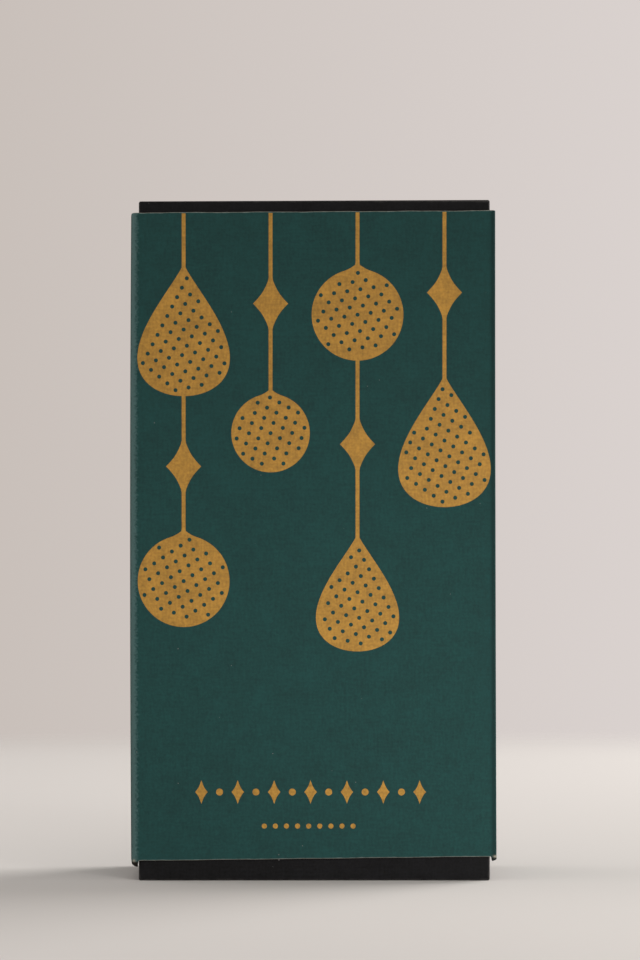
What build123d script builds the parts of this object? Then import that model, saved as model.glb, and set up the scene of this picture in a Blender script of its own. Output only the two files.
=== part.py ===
from build123d import *
import math
import os

os.makedirs("parts", exist_ok=True)

# A boxed chime set stands on its foot with its front towards -Y and its origin under the middle.
# A printed sleeve slides up off a rigid box. The box has a short base, a collar and a tall lid.
# The box is sized round its kit: each size below can be set by itself, in millimetres.

# Boards, papers and the clearances between them
board = 1.6
neck_board = 1.0
insert_board = 1.0
sleeve_board = 0.5
leaflet_thickness = 0.8
lid_clearance = 0.3
insert_clearance = 0.3
cut_overrun = 1.0

# Rigid box
base_height = 20.0
neck_rise = 12.0
head_room = 1.0
corner_radius = 0.7
edge_radius = 0.5
leaflet_margin = 6.0

# Printed sleeve
sleeve_foot_show = 6.0
sleeve_head_show = 3.0
sleeve_side_play = 1.1
sleeve_face_play = 0.8
sleeve_side_bow = 1.2
fold_radius = 1.0
glue_flap_width = 14.0

# Turbine wheel, its bearing cap and the peg that it is packed on
turbine_diameter = 74.0
turbine_side_gap = 1.0
turbine_standoff = 9.0
sheet = 0.5
hub_diameter = 26.0
vane_count = 12
vane_tilt = 35.0
vane_root_radius = 10.0
vane_root_width = 4.6
vane_tip_width = 14.5
cap_radius = 2.6
cap_flange_radius = 4.5
cap_rise = 5.1
cap_end_wall = 0.8
peg_radius = 1.4
peg_running_clearance = 0.08
peg_tip_gap = 0.15
peg_shank_radius = 2.5
peg_flange_radius = 4.4
peg_flange_thickness = 1.0
peg_head_radius = 5.0
peg_head_thickness = 1.2
seat_clearance = 0.1
front_room = 6.0

# Bell bracket, bells and their pins
bracket_arm_length = 26.0
bracket_arm_width = 6.0
bracket_hub_radius = 8.0
bracket_thickness = 1.0
bell_count = 3
bell_radius = 9.0
bell_height = 9.5
bell_wall = 0.7
bell_waist_share = 0.76
bell_shoulder_share = 0.38
pin_radius = 1.0
pin_head_radius = 2.0
pin_head_thickness = 1.2
pin_clearance = 0.15

# Star and moon pendants and the wire staples that hold them
star_count = 4
star_radius = 9.5
star_waist_radius = 4.2
star_eye_rise = 5.4
moon_count = 3
moon_radius = 8.0
moon_bite_radius = 6.6
moon_bite_shift = 3.2
moon_eye_angle = 110.0
moon_eye_radius = 6.4
eye_radius = 0.6
wire_radius = 0.4
wire_bend = 0.7
wire_lift = 0.3
wire_leg_gap = 0.1
hook_drop = 7.0
row_gap = 3.0

# Base plate, candle cups and pole socket
plate_diameter = 77.0
plate_sheet = 0.8
plate_rim_height = 2.0
plate_head_gap = 0.6
cup_count = 4
cup_circle_radius = 27.0
cup_radius = 6.9
cup_height = 13.0
cup_wall = 0.5
cup_lip = 0.9
rivet_radius = 1.2
rivet_head_radius = 2.4
rivet_head_thickness = 0.7
socket_flat_radius = 4.0
socket_height = 8.0
socket_spigot_radius = 3.0
cup_back_room = 6.2

# Pole sections and the pivot needle
pole_radius = 2.0
pole_gap = 0.4
pole_lower_length = 152.0
pole_upper_length = 140.0
joint_bore_radius = 1.2
joint_spigot_radius = 1.1
joint_depth = 8.0
needle_radius = 0.8
needle_reach = 8.0
needle_point_length = 4.0
needle_point_radius = 0.15

# Candles and the shelves that hold them
candle_count = 4
candle_radius = 6.25
candle_length = 92.0
candle_gap = 0.3
candle_chamfer = 1.2
wick_radius = 0.7
wick_length = 6.0
wick_room = 1.4
shelf_web = 3.7
guide_drop = 6.0

# Width and depth of the fitment, then of the collar, lid and sleeve round it
pole_lane = 2 * (pole_radius + pole_gap)
insert_inner_width = max(plate_diameter + 2 * pole_lane, turbine_diameter + 2 * turbine_side_gap)
insert_width = insert_inner_width + 2 * insert_board
rear_depth = max(
    2 * (candle_radius + candle_gap + shelf_web),
    plate_sheet + cup_height + cup_back_room,
)
front_depth = max(turbine_standoff + cap_rise, bell_height + pin_head_thickness) + front_room
insert_depth = front_depth + insert_board + rear_depth
neck_inner_width = insert_width + 2 * insert_clearance
neck_inner_depth = insert_depth + 2 * insert_clearance
neck_width = neck_inner_width + 2 * neck_board
neck_depth = neck_inner_depth + 2 * neck_board
lid_inner_width = neck_width + 2 * lid_clearance
lid_inner_depth = neck_depth + 2 * lid_clearance
box_width = lid_inner_width + 2 * board
box_depth = lid_inner_depth + 2 * board
sleeve_inner_width = box_width + 2 * sleeve_side_play
sleeve_front_y = -box_depth / 2 - sleeve_face_play
sleeve_back_y = box_depth / 2 + sleeve_face_play + sleeve_board
sleeve_middle_y = (sleeve_back_y + sleeve_front_y) / 2

# Heights, stacked up from the table
insert_foot = board + leaflet_thickness
card_foot = insert_foot + insert_board
neck_top = base_height + neck_rise
plate_z = card_foot + plate_diameter / 2
shelf_z = card_foot + plate_diameter + plate_head_gap
candle_foot = shelf_z + insert_board
candle_top = candle_foot + candle_length
moon_eye_rise = moon_eye_radius * math.sin(math.radians(moon_eye_angle))
moon_eye_x = moon_eye_radius * math.cos(math.radians(moon_eye_angle))
bell_z = neck_top + row_gap / 3 + bell_radius
moon_z = bell_z + bell_radius + row_gap + moon_radius
moon_peg_z = moon_z + moon_eye_rise + hook_drop
star_z = moon_peg_z + row_gap + star_radius * math.cos(math.pi / 5)
star_peg_z = star_z + star_eye_rise + hook_drop
turbine_z = star_peg_z + row_gap + turbine_diameter / 2
guide_z = turbine_z - peg_head_radius - guide_drop - insert_board
card_top = max(
    candle_top + wick_length + wick_room,
    card_foot + pole_lower_length + pole_gap,
    card_foot + pole_upper_length + needle_reach + pole_gap,
    turbine_z + turbine_diameter / 2 + row_gap,
)
lid_ceiling = card_top + head_room
box_height = lid_ceiling + board
sleeve_foot = sleeve_foot_show
sleeve_length = box_height - sleeve_foot_show - sleeve_head_show

# The card's two faces, and the lanes that the kit lies in
card_front_y = -insert_depth / 2 + front_depth
card_back_y = card_front_y + insert_board
rear_middle_y = card_back_y + rear_depth / 2
pole_x = insert_inner_width / 2 - pole_lane / 2
star_pitch = insert_width / star_count
bell_pitch = insert_width / bell_count
candle_pitch = (insert_inner_width - 2 * pole_lane) / candle_count


def forward_plane(x, z, ahead=0):
    """A plane ahead of the card's front face, facing the front."""
    return Plane(origin=(x, card_front_y - ahead, z), x_dir=(1, 0, 0), z_dir=(0, -1, 0))


def backward_plane(x, z, behind=0):
    """A plane behind the card's back face, facing the back."""
    return Plane(origin=(x, card_back_y + behind, z), x_dir=(1, 0, 0), z_dir=(0, 1, 0))


def row_places(count, pitch):
    """Places of a centred row, from left to right."""
    return [(index - (count - 1) / 2) * pitch for index in range(count)]


star_places = row_places(star_count, star_pitch)
moon_places = row_places(moon_count, star_pitch)
bell_places = row_places(bell_count, bell_pitch)
candle_places = row_places(candle_count, candle_pitch)

# Base of the rigid box: a short tray of wrapped greyboard
with BuildPart() as box_base:
    with BuildSketch(Plane.XY):
        RectangleRounded(box_width, box_depth, corner_radius)
    extrude(amount=base_height)
    with BuildSketch(Plane.XY.offset(board)):
        Rectangle(neck_width, neck_depth)
    extrude(amount=base_height, mode=Mode.SUBTRACT)
    fillet(box_base.faces().sort_by(Axis.Z)[0].edges(), radius=edge_radius)
box_base.part.label = "box_base"
export_step(box_base.part, "parts/box_base.step")

# Collar glued inside the base, which the lid slides down over
with BuildPart() as box_neck:
    with BuildSketch(Plane.XY.offset(board)):
        Rectangle(neck_width, neck_depth)
        Rectangle(neck_inner_width, neck_inner_depth, mode=Mode.SUBTRACT)
    extrude(amount=neck_top - board)
box_neck.part.label = "box_neck"
export_step(box_neck.part, "parts/box_neck.step")

# Tall lid, which meets the base's rim under the sleeve
with BuildPart() as box_lid:
    with BuildSketch(Plane.XY.offset(base_height)):
        RectangleRounded(box_width, box_depth, corner_radius)
    extrude(amount=box_height - base_height)
    with BuildSketch(Plane.XY.offset(base_height - cut_overrun)):
        Rectangle(lid_inner_width, lid_inner_depth)
    extrude(amount=lid_ceiling - base_height + cut_overrun, mode=Mode.SUBTRACT)
    fillet(box_lid.faces().sort_by(Axis.Z)[-1].edges(), radius=edge_radius)
box_lid.part.label = "box_lid"
export_step(box_lid.part, "parts/box_lid.step")

# Sleeve folded from one sheet: side panels bowed out, glue flap inside the back panel
sleeve_half_width = sleeve_inner_width / 2 + sleeve_board
sleeve_face_y = sleeve_front_y - sleeve_board
sleeve_rear_y = sleeve_back_y + sleeve_board
flap_x = sleeve_inner_width / 2 - fold_radius - glue_flap_width / 2
with BuildPart() as printed_sleeve:
    with BuildSketch(Plane.XY.offset(sleeve_foot)) as sleeve_section:
        with BuildLine():
            front_left = (-sleeve_half_width, sleeve_face_y)
            front_right = (sleeve_half_width, sleeve_face_y)
            back_right = (sleeve_half_width, sleeve_rear_y)
            back_left = (-sleeve_half_width, sleeve_rear_y)
            right_bow = (sleeve_half_width + sleeve_side_bow, sleeve_middle_y)
            left_bow = (-sleeve_half_width - sleeve_side_bow, sleeve_middle_y)
            Line(front_left, front_right)
            ThreePointArc(front_right, right_bow, back_right)
            Line(back_right, back_left)
            ThreePointArc(back_left, left_bow, front_left)
        make_face()
        fillet(sleeve_section.vertices(), radius=fold_radius)
        offset(amount=-sleeve_board, mode=Mode.SUBTRACT)
        with Locations((flap_x, sleeve_back_y - sleeve_board / 2)):
            Rectangle(glue_flap_width, sleeve_board)
    extrude(amount=sleeve_length)
printed_sleeve.part.label = "printed_sleeve"
export_step(printed_sleeve.part, "parts/printed_sleeve.step")

# Folded leaflet, flat on the base's floor
with BuildPart() as folded_leaflet:
    with BuildSketch(Plane.XY.offset(board)):
        Rectangle(insert_width - 2 * leaflet_margin, insert_depth - 2 * leaflet_margin)
    extrude(amount=leaflet_thickness)
folded_leaflet.part.label = "folded_leaflet"
export_step(folded_leaflet.part, "parts/folded_leaflet.step")

# Floor of the fitment
with BuildPart() as insert_floor:
    with BuildSketch(Plane.XY.offset(insert_foot)):
        Rectangle(insert_width, insert_depth)
    extrude(amount=insert_board)
insert_floor.part.label = "insert_floor"
export_step(insert_floor.part, "parts/insert_floor.step")

# Display card with two side returns folded back, punched for pins, pegs and wires
with BuildPart() as insert_card:
    with BuildSketch(Plane.XY.offset(card_foot)):
        with Locations((0, (card_front_y + insert_depth / 2) / 2)):
            Rectangle(insert_width, insert_depth / 2 - card_front_y)
        with Locations((0, (card_back_y + insert_depth / 2) / 2 + cut_overrun / 2)):
            Rectangle(insert_inner_width, rear_depth + cut_overrun, mode=Mode.SUBTRACT)
    extrude(amount=card_top - card_foot)
    fold_edges = insert_card.edges().filter_by(Axis.Z).group_by(Axis.Y)[0]
    fillet(fold_edges, radius=insert_board * 3 / 4)
    with BuildSketch(forward_plane(0, 0)):
        with Locations(*[(x, bell_z) for x in bell_places]):
            Circle(pin_radius + pin_clearance)
        with Locations(*[(x, star_peg_z) for x in star_places]):
            Circle(eye_radius)
        with Locations(*[(x + moon_eye_x, moon_peg_z) for x in moon_places]):
            Circle(eye_radius)
        with Locations((0, turbine_z)):
            Circle(peg_shank_radius + seat_clearance)
    extrude(amount=insert_board + cut_overrun, both=True, mode=Mode.SUBTRACT)
insert_card.part.label = "insert_card"
export_step(insert_card.part, "parts/insert_card.step")

# Middle shelf between the returns, notched for the poles, which the candles stand on
with BuildPart() as shelf_middle:
    with BuildSketch(Plane.XY.offset(shelf_z)):
        with Locations((0, rear_middle_y)):
            Rectangle(insert_inner_width, rear_depth)
        with Locations((-pole_x, rear_middle_y), (pole_x, rear_middle_y)):
            Rectangle(pole_lane, pole_lane, mode=Mode.SUBTRACT)
    extrude(amount=insert_board)
shelf_middle.part.label = "shelf_middle"
export_step(shelf_middle.part, "parts/shelf_middle.step")

# Guide shelf, punched to keep candles and poles upright
with BuildPart() as shelf_guide:
    with BuildSketch(Plane.XY.offset(guide_z)):
        with Locations((0, rear_middle_y)):
            Rectangle(insert_inner_width, rear_depth)
        with Locations((-pole_x, rear_middle_y), (pole_x, rear_middle_y)):
            Rectangle(pole_lane, pole_lane, mode=Mode.SUBTRACT)
        with Locations(*[(x, rear_middle_y) for x in candle_places]):
            Circle(candle_radius + candle_gap, mode=Mode.SUBTRACT)
    extrude(amount=insert_board)
shelf_guide.part.label = "shelf_guide"
export_step(shelf_guide.part, "parts/shelf_guide.step")

# Stamped bracket for the bells, flat against the card behind the turbine
with BuildPart() as bell_bracket:
    with BuildSketch(forward_plane(0, turbine_z)):
        Circle(bracket_hub_radius)
        with PolarLocations(bracket_arm_length / 2, bell_count, 90):
            Rectangle(bracket_arm_length, bracket_arm_width)
        with PolarLocations(bracket_arm_length, bell_count, 90):
            Circle(bracket_arm_width / 2)
            Circle(pin_radius + pin_clearance, mode=Mode.SUBTRACT)
        Circle(peg_shank_radius + seat_clearance, mode=Mode.SUBTRACT)
    extrude(amount=bracket_thickness)
bell_bracket.part.label = "bell_bracket"
export_step(bell_bracket.part, "parts/bell_bracket.step")

# Peg through the card: head behind, flange in front of the bracket, and a spindle for the turbine
cap_front_ahead = turbine_standoff + cap_rise
with BuildPart() as turbine_peg:
    with BuildSketch(backward_plane(0, turbine_z)):
        Circle(peg_head_radius)
    extrude(amount=peg_head_thickness)
    with BuildSketch(backward_plane(0, turbine_z)):
        Circle(peg_shank_radius)
    extrude(amount=-(insert_board + bracket_thickness))
    with BuildSketch(forward_plane(0, turbine_z, bracket_thickness)):
        Circle(peg_flange_radius)
    extrude(amount=peg_flange_thickness)
    with BuildSketch(forward_plane(0, turbine_z, bracket_thickness)):
        Circle(peg_radius)
    extrude(amount=cap_front_ahead - cap_end_wall - peg_tip_gap - bracket_thickness)
turbine_peg.part.label = "turbine_peg"
export_step(turbine_peg.part, "parts/turbine_peg.step")

# Turbine wheel: a stamped hub with tilted vanes, carried by its cap
wheel_plane = forward_plane(0, turbine_z, turbine_standoff)
vane_length = turbine_diameter / 2 - vane_root_radius
with BuildPart() as turbine_wheel:
    with BuildSketch(wheel_plane):
        Circle(hub_diameter / 2)
    extrude(amount=sheet / 2, both=True)
    for index in range(vane_count):
        turn = Location((0, 0, 0), (0, 0, index * 360 / vane_count))
        tilt = Location((0, 0, 0), (vane_tilt, 0, 0))
        with BuildSketch(Plane(wheel_plane.location * turn * tilt)):
            with BuildLine():
                Polyline(
                    (vane_root_radius, -vane_root_width / 2),
                    (vane_root_radius + vane_length, -vane_tip_width / 2),
                    (vane_root_radius + vane_length, vane_tip_width / 2),
                    (vane_root_radius, vane_root_width / 2),
                    close=True,
                )
            make_face()
        extrude(amount=sheet / 2, both=True)
    with BuildSketch(wheel_plane):
        Circle(cap_radius)
    extrude(amount=sheet, both=True, mode=Mode.SUBTRACT)
turbine_wheel.part.label = "turbine_wheel"
export_step(turbine_wheel.part, "parts/turbine_wheel.step")

# Blind bearing cap riveted in the hub, with its flange behind the wheel
bore_radius = peg_radius + peg_running_clearance
with BuildPart() as pivot_cap:
    with BuildSketch(forward_plane(0, turbine_z, turbine_standoff - sheet / 2)):
        Circle(cap_radius)
    extrude(amount=cap_rise + sheet / 2)
    fillet(pivot_cap.faces().sort_by(Axis.Y)[0].edges(), radius=cap_end_wall)
    with BuildSketch(forward_plane(0, turbine_z, turbine_standoff - sheet * 3 / 2)):
        Circle(cap_flange_radius)
    extrude(amount=sheet)
    with BuildSketch(forward_plane(0, turbine_z, turbine_standoff - sheet * 3 / 2)):
        Circle(bore_radius)
    extrude(amount=cap_rise + sheet * 3 / 2 - cap_end_wall, mode=Mode.SUBTRACT)
pivot_cap.part.label = "pivot_cap"
export_step(pivot_cap.part, "parts/pivot_cap.step")

# Bells, mouths against the card, turned from a waisted profile
waist = bell_radius * bell_waist_share
shoulder = bell_height * bell_shoulder_share
bell_hole = pin_radius + pin_clearance
dome_rise = bell_height - shoulder
half_turn_share = math.sin(math.pi / 4)
for number, x in enumerate(bell_places, start=1):
    bell_plane = Plane(origin=(x, card_front_y, bell_z), x_dir=(1, 0, 0), z_dir=(0, 0, -1))
    with BuildPart() as bell:
        with BuildSketch(bell_plane):
            with BuildLine():
                lip = (bell_radius, 0)
                shoulder_point = (waist, shoulder)
                crown = (bell_hole, bell_height)
                inner_crown = (bell_hole, bell_height - bell_wall)
                inner_shoulder = (waist - bell_wall, shoulder)
                inner_lip = (bell_radius - bell_wall, 0)
                TangentArc(shoulder_point, lip, tangent=(0, -1))
                outer_mid = (waist * half_turn_share, shoulder + dome_rise * half_turn_share)
                inner_mid = (outer_mid[0] - bell_wall, outer_mid[1] - bell_wall)
                ThreePointArc(shoulder_point, outer_mid, crown)
                Line(crown, inner_crown)
                ThreePointArc(inner_crown, inner_mid, inner_shoulder)
                TangentArc(inner_shoulder, inner_lip, tangent=(0, -1))
                Line(inner_lip, lip)
            make_face()
        revolve(axis=Axis((x, card_front_y, bell_z), (0, -1, 0)))
    bell.part.label = f"bell_{number}"
    export_step(bell.part, f"parts/bell_{number}.step")

# Pins that hold the bells to the card, one through each crown
with BuildPart() as bell_pins:
    for x in bell_places:
        with BuildSketch(forward_plane(x, bell_z, bell_height)):
            Circle(pin_head_radius)
        extrude(amount=pin_head_thickness)
        with BuildSketch(forward_plane(x, bell_z, bell_height)):
            Circle(pin_radius)
        extrude(amount=-(bell_height + insert_board))
bell_pins.part.label = "bell_pins"
export_step(bell_pins.part, "parts/bell_pins.step")

# Flat star pendants, with an eye in the top point
for number, x in enumerate(star_places, start=1):
    corners = []
    for index in range(10):
        radius = star_waist_radius if index % 2 else star_radius
        angle = math.radians(90 + index * 36)
        corners.append((radius * math.cos(angle), radius * math.sin(angle)))
    with BuildPart() as star:
        with BuildSketch(forward_plane(x, star_z)):
            with BuildLine():
                Polyline(*corners, close=True)
            make_face()
            with Locations((0, star_eye_rise)):
                Circle(eye_radius, mode=Mode.SUBTRACT)
        extrude(amount=sheet)
    star.part.label = f"star_pendant_{number}"
    export_step(star.part, f"parts/star_pendant_{number}.step")

# Flat crescent pendants, with an eye in the upper horn
for number, x in enumerate(moon_places, start=1):
    with BuildPart() as moon:
        with BuildSketch(forward_plane(x, moon_z)):
            Circle(moon_radius)
            with Locations((moon_bite_shift, 0)):
                Circle(moon_bite_radius, mode=Mode.SUBTRACT)
            with Locations((moon_eye_x, moon_eye_rise)):
                Circle(eye_radius, mode=Mode.SUBTRACT)
        extrude(amount=sheet)
    moon.part.label = f"moon_pendant_{number}"
    export_step(moon.part, f"parts/moon_pendant_{number}.step")

# Wire staples: the upper leg goes through the card and the lower one through the pendant's eye
staple_y = card_front_y - sheet - wire_lift - wire_radius
staple_places = [(x, star_peg_z) for x in star_places]
staple_places += [(x + moon_eye_x, moon_peg_z) for x in moon_places]
with BuildPart() as pendant_hooks:
    for x, peg_z in staple_places:
        with BuildLine(Plane.YZ.offset(x)) as staple:
            FilletPolyline(
                (card_back_y, peg_z),
                (staple_y, peg_z),
                (staple_y, peg_z - hook_drop),
                (card_front_y - wire_leg_gap, peg_z - hook_drop),
                radius=wire_bend,
            )
        with BuildSketch(Plane(origin=staple.line @ 0, z_dir=staple.line % 0)):
            Circle(wire_radius)
        sweep(path=staple.line)
pendant_hooks.part.label = "pendant_hooks"
export_step(pendant_hooks.part, "parts/pendant_hooks.step")

# Base plate, stamped with an upturned rim, standing behind the card
cup_start_angle = 180 / cup_count
with BuildPart() as base_plate:
    with BuildSketch(backward_plane(0, plate_z)):
        Circle(plate_diameter / 2)
    extrude(amount=plate_rim_height)
    with BuildSketch(backward_plane(0, plate_z, plate_sheet)):
        Circle(plate_diameter / 2 - plate_sheet)
    extrude(amount=plate_rim_height, mode=Mode.SUBTRACT)
    with BuildSketch(backward_plane(0, plate_z)):
        Circle(socket_spigot_radius)
        with PolarLocations(cup_circle_radius, cup_count, cup_start_angle):
            Circle(rivet_radius)
    extrude(amount=plate_rim_height, mode=Mode.SUBTRACT)
base_plate.part.label = "base_plate"
export_step(base_plate.part, "parts/base_plate.step")

# Drawn candle cups, riveted to the plate with their mouths away from the card
cup_places = []
for index in range(cup_count):
    angle = math.radians(cup_start_angle + index * 360 / cup_count)
    cup_x = cup_circle_radius * math.cos(angle)
    cup_places.append((cup_x, plate_z + cup_circle_radius * math.sin(angle)))
for number, (x, z) in enumerate(cup_places, start=1):
    with BuildPart() as candle_cup:
        with BuildSketch(backward_plane(x, z, plate_sheet)):
            Circle(cup_radius)
        extrude(amount=cup_height)
        with BuildSketch(backward_plane(x, z, plate_sheet + cup_height - cup_wall)):
            Circle(cup_radius + cup_lip)
        extrude(amount=cup_wall)
        with BuildSketch(backward_plane(x, z, plate_sheet + cup_wall)):
            Circle(cup_radius - cup_wall)
        extrude(amount=cup_height, mode=Mode.SUBTRACT)
        with BuildSketch(backward_plane(x, z, plate_sheet)):
            Circle(rivet_radius)
        extrude(amount=cup_height, mode=Mode.SUBTRACT)
    candle_cup.part.label = f"candle_cup_{number}"
    export_step(candle_cup.part, f"parts/candle_cup_{number}.step")

# Rivets through the cups' floors, peened flush behind the plate
with BuildPart() as cup_rivets:
    for x, z in cup_places:
        with BuildSketch(backward_plane(x, z)):
            Circle(rivet_radius)
        extrude(amount=plate_sheet + cup_wall)
        with BuildSketch(backward_plane(x, z, plate_sheet + cup_wall)):
            Circle(rivet_head_radius)
        extrude(amount=rivet_head_thickness)
cup_rivets.part.label = "cup_rivets"
export_step(cup_rivets.part, "parts/cup_rivets.step")

# Hexagonal socket that the pole screws into, riveted in the plate's centre
with BuildPart() as pole_socket:
    with BuildSketch(backward_plane(0, plate_z)):
        Circle(socket_spigot_radius)
    extrude(amount=plate_sheet)
    with BuildSketch(backward_plane(0, plate_z, plate_sheet)):
        RegularPolygon(socket_flat_radius, 6, major_radius=False)
    extrude(amount=socket_height)
    with BuildSketch(backward_plane(0, plate_z)):
        Circle(pole_radius + seat_clearance)
    extrude(amount=socket_height + 2 * plate_sheet, mode=Mode.SUBTRACT)
pole_socket.part.label = "pole_socket"
export_step(pole_socket.part, "parts/pole_socket.step")

# Lower pole, bored at its top for the upper pole's spigot
with BuildPart() as pole_lower:
    with BuildSketch(Plane.XY.offset(card_foot)):
        with Locations((-pole_x, rear_middle_y)):
            Circle(pole_radius)
    extrude(amount=pole_lower_length)
    with BuildSketch(Plane.XY.offset(card_foot + pole_lower_length - joint_depth)):
        with Locations((-pole_x, rear_middle_y)):
            Circle(joint_bore_radius)
    extrude(amount=joint_depth, mode=Mode.SUBTRACT)
pole_lower.part.label = "pole_lower"
export_step(pole_lower.part, "parts/pole_lower.step")

# Upper pole, with a spigot at its foot and a bore for the needle at its top
with BuildPart() as pole_upper:
    with BuildSketch(Plane.XY.offset(card_foot)):
        with Locations((pole_x, rear_middle_y)):
            Circle(joint_spigot_radius)
    extrude(amount=joint_depth)
    with BuildSketch(Plane.XY.offset(card_foot + joint_depth)):
        with Locations((pole_x, rear_middle_y)):
            Circle(pole_radius)
    extrude(amount=pole_upper_length - joint_depth)
    with BuildSketch(Plane.XY.offset(card_foot + pole_upper_length - joint_depth)):
        with Locations((pole_x, rear_middle_y)):
            Circle(needle_radius)
    extrude(amount=joint_depth, mode=Mode.SUBTRACT)
pole_upper.part.label = "pole_upper"
export_step(pole_upper.part, "parts/pole_upper.step")

# Pivot needle pressed into the upper pole
needle_shoulder = card_foot + pole_upper_length + needle_reach - needle_point_length
with BuildPart() as pivot_needle:
    with BuildSketch(Plane.XY.offset(card_foot + pole_upper_length - joint_depth)):
        with Locations((pole_x, rear_middle_y)):
            Circle(needle_radius)
    extrude(amount=joint_depth + needle_reach - needle_point_length)
    with BuildSketch(Plane.XY.offset(needle_shoulder)):
        with Locations((pole_x, rear_middle_y)):
            Circle(needle_radius)
    with BuildSketch(Plane.XY.offset(needle_shoulder + needle_point_length)):
        with Locations((pole_x, rear_middle_y)):
            Circle(needle_point_radius)
    loft()
pivot_needle.part.label = "pivot_needle"
export_step(pivot_needle.part, "parts/pivot_needle.step")

# Candles, each standing on the middle shelf through the guide
for number, x in enumerate(candle_places, start=1):
    with BuildPart() as candle:
        with BuildSketch(Plane.XY.offset(candle_foot)):
            with Locations((x, rear_middle_y)):
                Circle(candle_radius)
        extrude(amount=candle_length)
        chamfer(candle.faces().sort_by(Axis.Z)[-1].edges(), length=candle_chamfer)
    candle.part.label = f"candle_{number}"
    export_step(candle.part, f"parts/candle_{number}.step")

# Wicks, standing on the candles' tops
with BuildPart() as candle_wicks:
    with BuildSketch(Plane.XY.offset(candle_top)):
        with Locations(*[(x, rear_middle_y) for x in candle_places]):
            Circle(wick_radius)
    extrude(amount=wick_length)
candle_wicks.part.label = "candle_wicks"
export_step(candle_wicks.part, "parts/candle_wicks.step")

print("box", round(box_width, 3), round(box_depth, 3), round(box_height, 3))
print("turbine centre height", round(turbine_z, 3), "card top", round(card_top, 3))
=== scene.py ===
import math

import bmesh
import bpy
import numpy as np
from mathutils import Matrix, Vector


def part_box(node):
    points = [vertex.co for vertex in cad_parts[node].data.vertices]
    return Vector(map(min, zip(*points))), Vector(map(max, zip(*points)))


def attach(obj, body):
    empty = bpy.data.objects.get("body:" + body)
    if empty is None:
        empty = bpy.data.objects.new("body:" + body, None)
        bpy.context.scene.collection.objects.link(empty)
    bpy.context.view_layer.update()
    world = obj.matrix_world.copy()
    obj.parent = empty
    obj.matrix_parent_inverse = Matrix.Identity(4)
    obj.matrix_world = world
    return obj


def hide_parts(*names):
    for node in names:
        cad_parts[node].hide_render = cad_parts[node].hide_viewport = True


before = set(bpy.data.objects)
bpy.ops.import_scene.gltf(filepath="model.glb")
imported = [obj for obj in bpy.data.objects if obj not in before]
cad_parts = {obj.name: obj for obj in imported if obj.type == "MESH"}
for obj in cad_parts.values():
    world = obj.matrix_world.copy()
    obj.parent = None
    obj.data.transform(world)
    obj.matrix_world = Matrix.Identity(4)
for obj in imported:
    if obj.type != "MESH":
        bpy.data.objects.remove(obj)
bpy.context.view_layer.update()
mm = 0.001

# Base of the box: a short greyboard tray wrapped in black paper, which is turned over the rim and
# pasted down inside. The foot and the rim are softened by the wrap, and the corners are mitred.


def feed(tree, sockets, values):
    """Gives sockets their values. Each is either a plain value or another node's output."""
    for name, value in values.items():
        if isinstance(value, bpy.types.NodeSocket):
            tree.links.new(value, sockets[name])
        else:
            sockets[name].default_value = value


def shader(tree, kind, sockets=None, **settings):
    """Adds one shader node with its settings and its sockets' values."""
    made = tree.nodes.new("ShaderNode" + kind)
    for name, value in settings.items():
        setattr(made, name, value)
    feed(tree, made.inputs, sockets or {})
    return made


def reckon(tree, operation, *values):
    """One step of arithmetic on shader values."""
    return shader(tree, "Math", dict(enumerate(values)), operation=operation).outputs[0]


def reckon_places(tree, operation, *places):
    """One step of arithmetic on the three axes of shader places."""
    return shader(tree, "VectorMath", dict(enumerate(places)), operation=operation).outputs[0]


def ranged(tree, value, before, after=(0.0, 1.0), soft=False):
    """Maps a value from one range to another, straight or with soft ends, and holds it at both."""
    limits = dict(zip(("From Min", "From Max", "To Min", "To Max"), (*before, *after)))
    kind = "SMOOTHSTEP" if soft else "LINEAR"
    return shader(tree, "MapRange", {"Value": value, **limits}, interpolation_type=kind).outputs[0]


def blend_colours(tree, share, first, second):
    """The first colour where share is 0 and the second where it is 1."""
    colours = [(*colour, 1) if isinstance(colour, tuple) else colour for colour in (first, second)]
    sockets = {"Factor": share, 6: colours[0], 7: colours[1]}
    return shader(tree, "Mix", sockets, data_type="RGBA").outputs[2]


def noise(tree, place, scale, detail=2.0, **settings):
    """Cloudy noise about one half, from 0 to 1."""
    sockets = {"W" if "noise_dimensions" in settings else "Vector": place, "Scale": scale, "Detail": detail}
    return shader(tree, "TexNoise", sockets, **settings).outputs[0]


def stretched(tree, place, stretch):
    """A place with each of its axes drawn out or pressed together."""
    return reckon_places(tree, "MULTIPLY", place, stretch)


def new_group(name, places, numbers, results):
    """An empty shader node group that takes places and numbers and gives numbers, and its two ends."""
    group = bpy.data.node_groups.new(name, "ShaderNodeTree")
    kinds = (places, "INPUT", "Vector"), (numbers, "INPUT", "Float"), (results, "OUTPUT", "Float")
    for names, end, kind in kinds:
        for socket in names:
            group.interface.new_socket(socket, in_out=end, socket_type="NodeSocket" + kind)
    return group, group.nodes.new("NodeGroupInput").outputs, group.nodes.new("NodeGroupOutput").inputs


def effect(tree, group, **values):
    """Puts a shader node group in a material with values of its own, and gives its outputs."""
    return shader(tree, "Group", values, node_tree=group).outputs


def new_material(name):
    """A material with one Principled surface: the material, its tree and its surface's sockets."""
    made = bpy.data.materials.new(name)
    made.use_nodes = True
    return made, made.node_tree, made.node_tree.nodes["Principled BSDF"].inputs


def object_place(tree):
    """The point's own place on the object, in metres."""
    return shader(tree, "TexCoord").outputs["Object"]


def raise_surface(tree, surface, height, strength, depth):
    """Shades a surface as if its height stood out by a depth."""
    bump = shader(tree, "Bump", {"Height": height, "Strength": strength, "Distance": depth})
    tree.links.new(bump.outputs[0], surface["Normal"])


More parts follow.
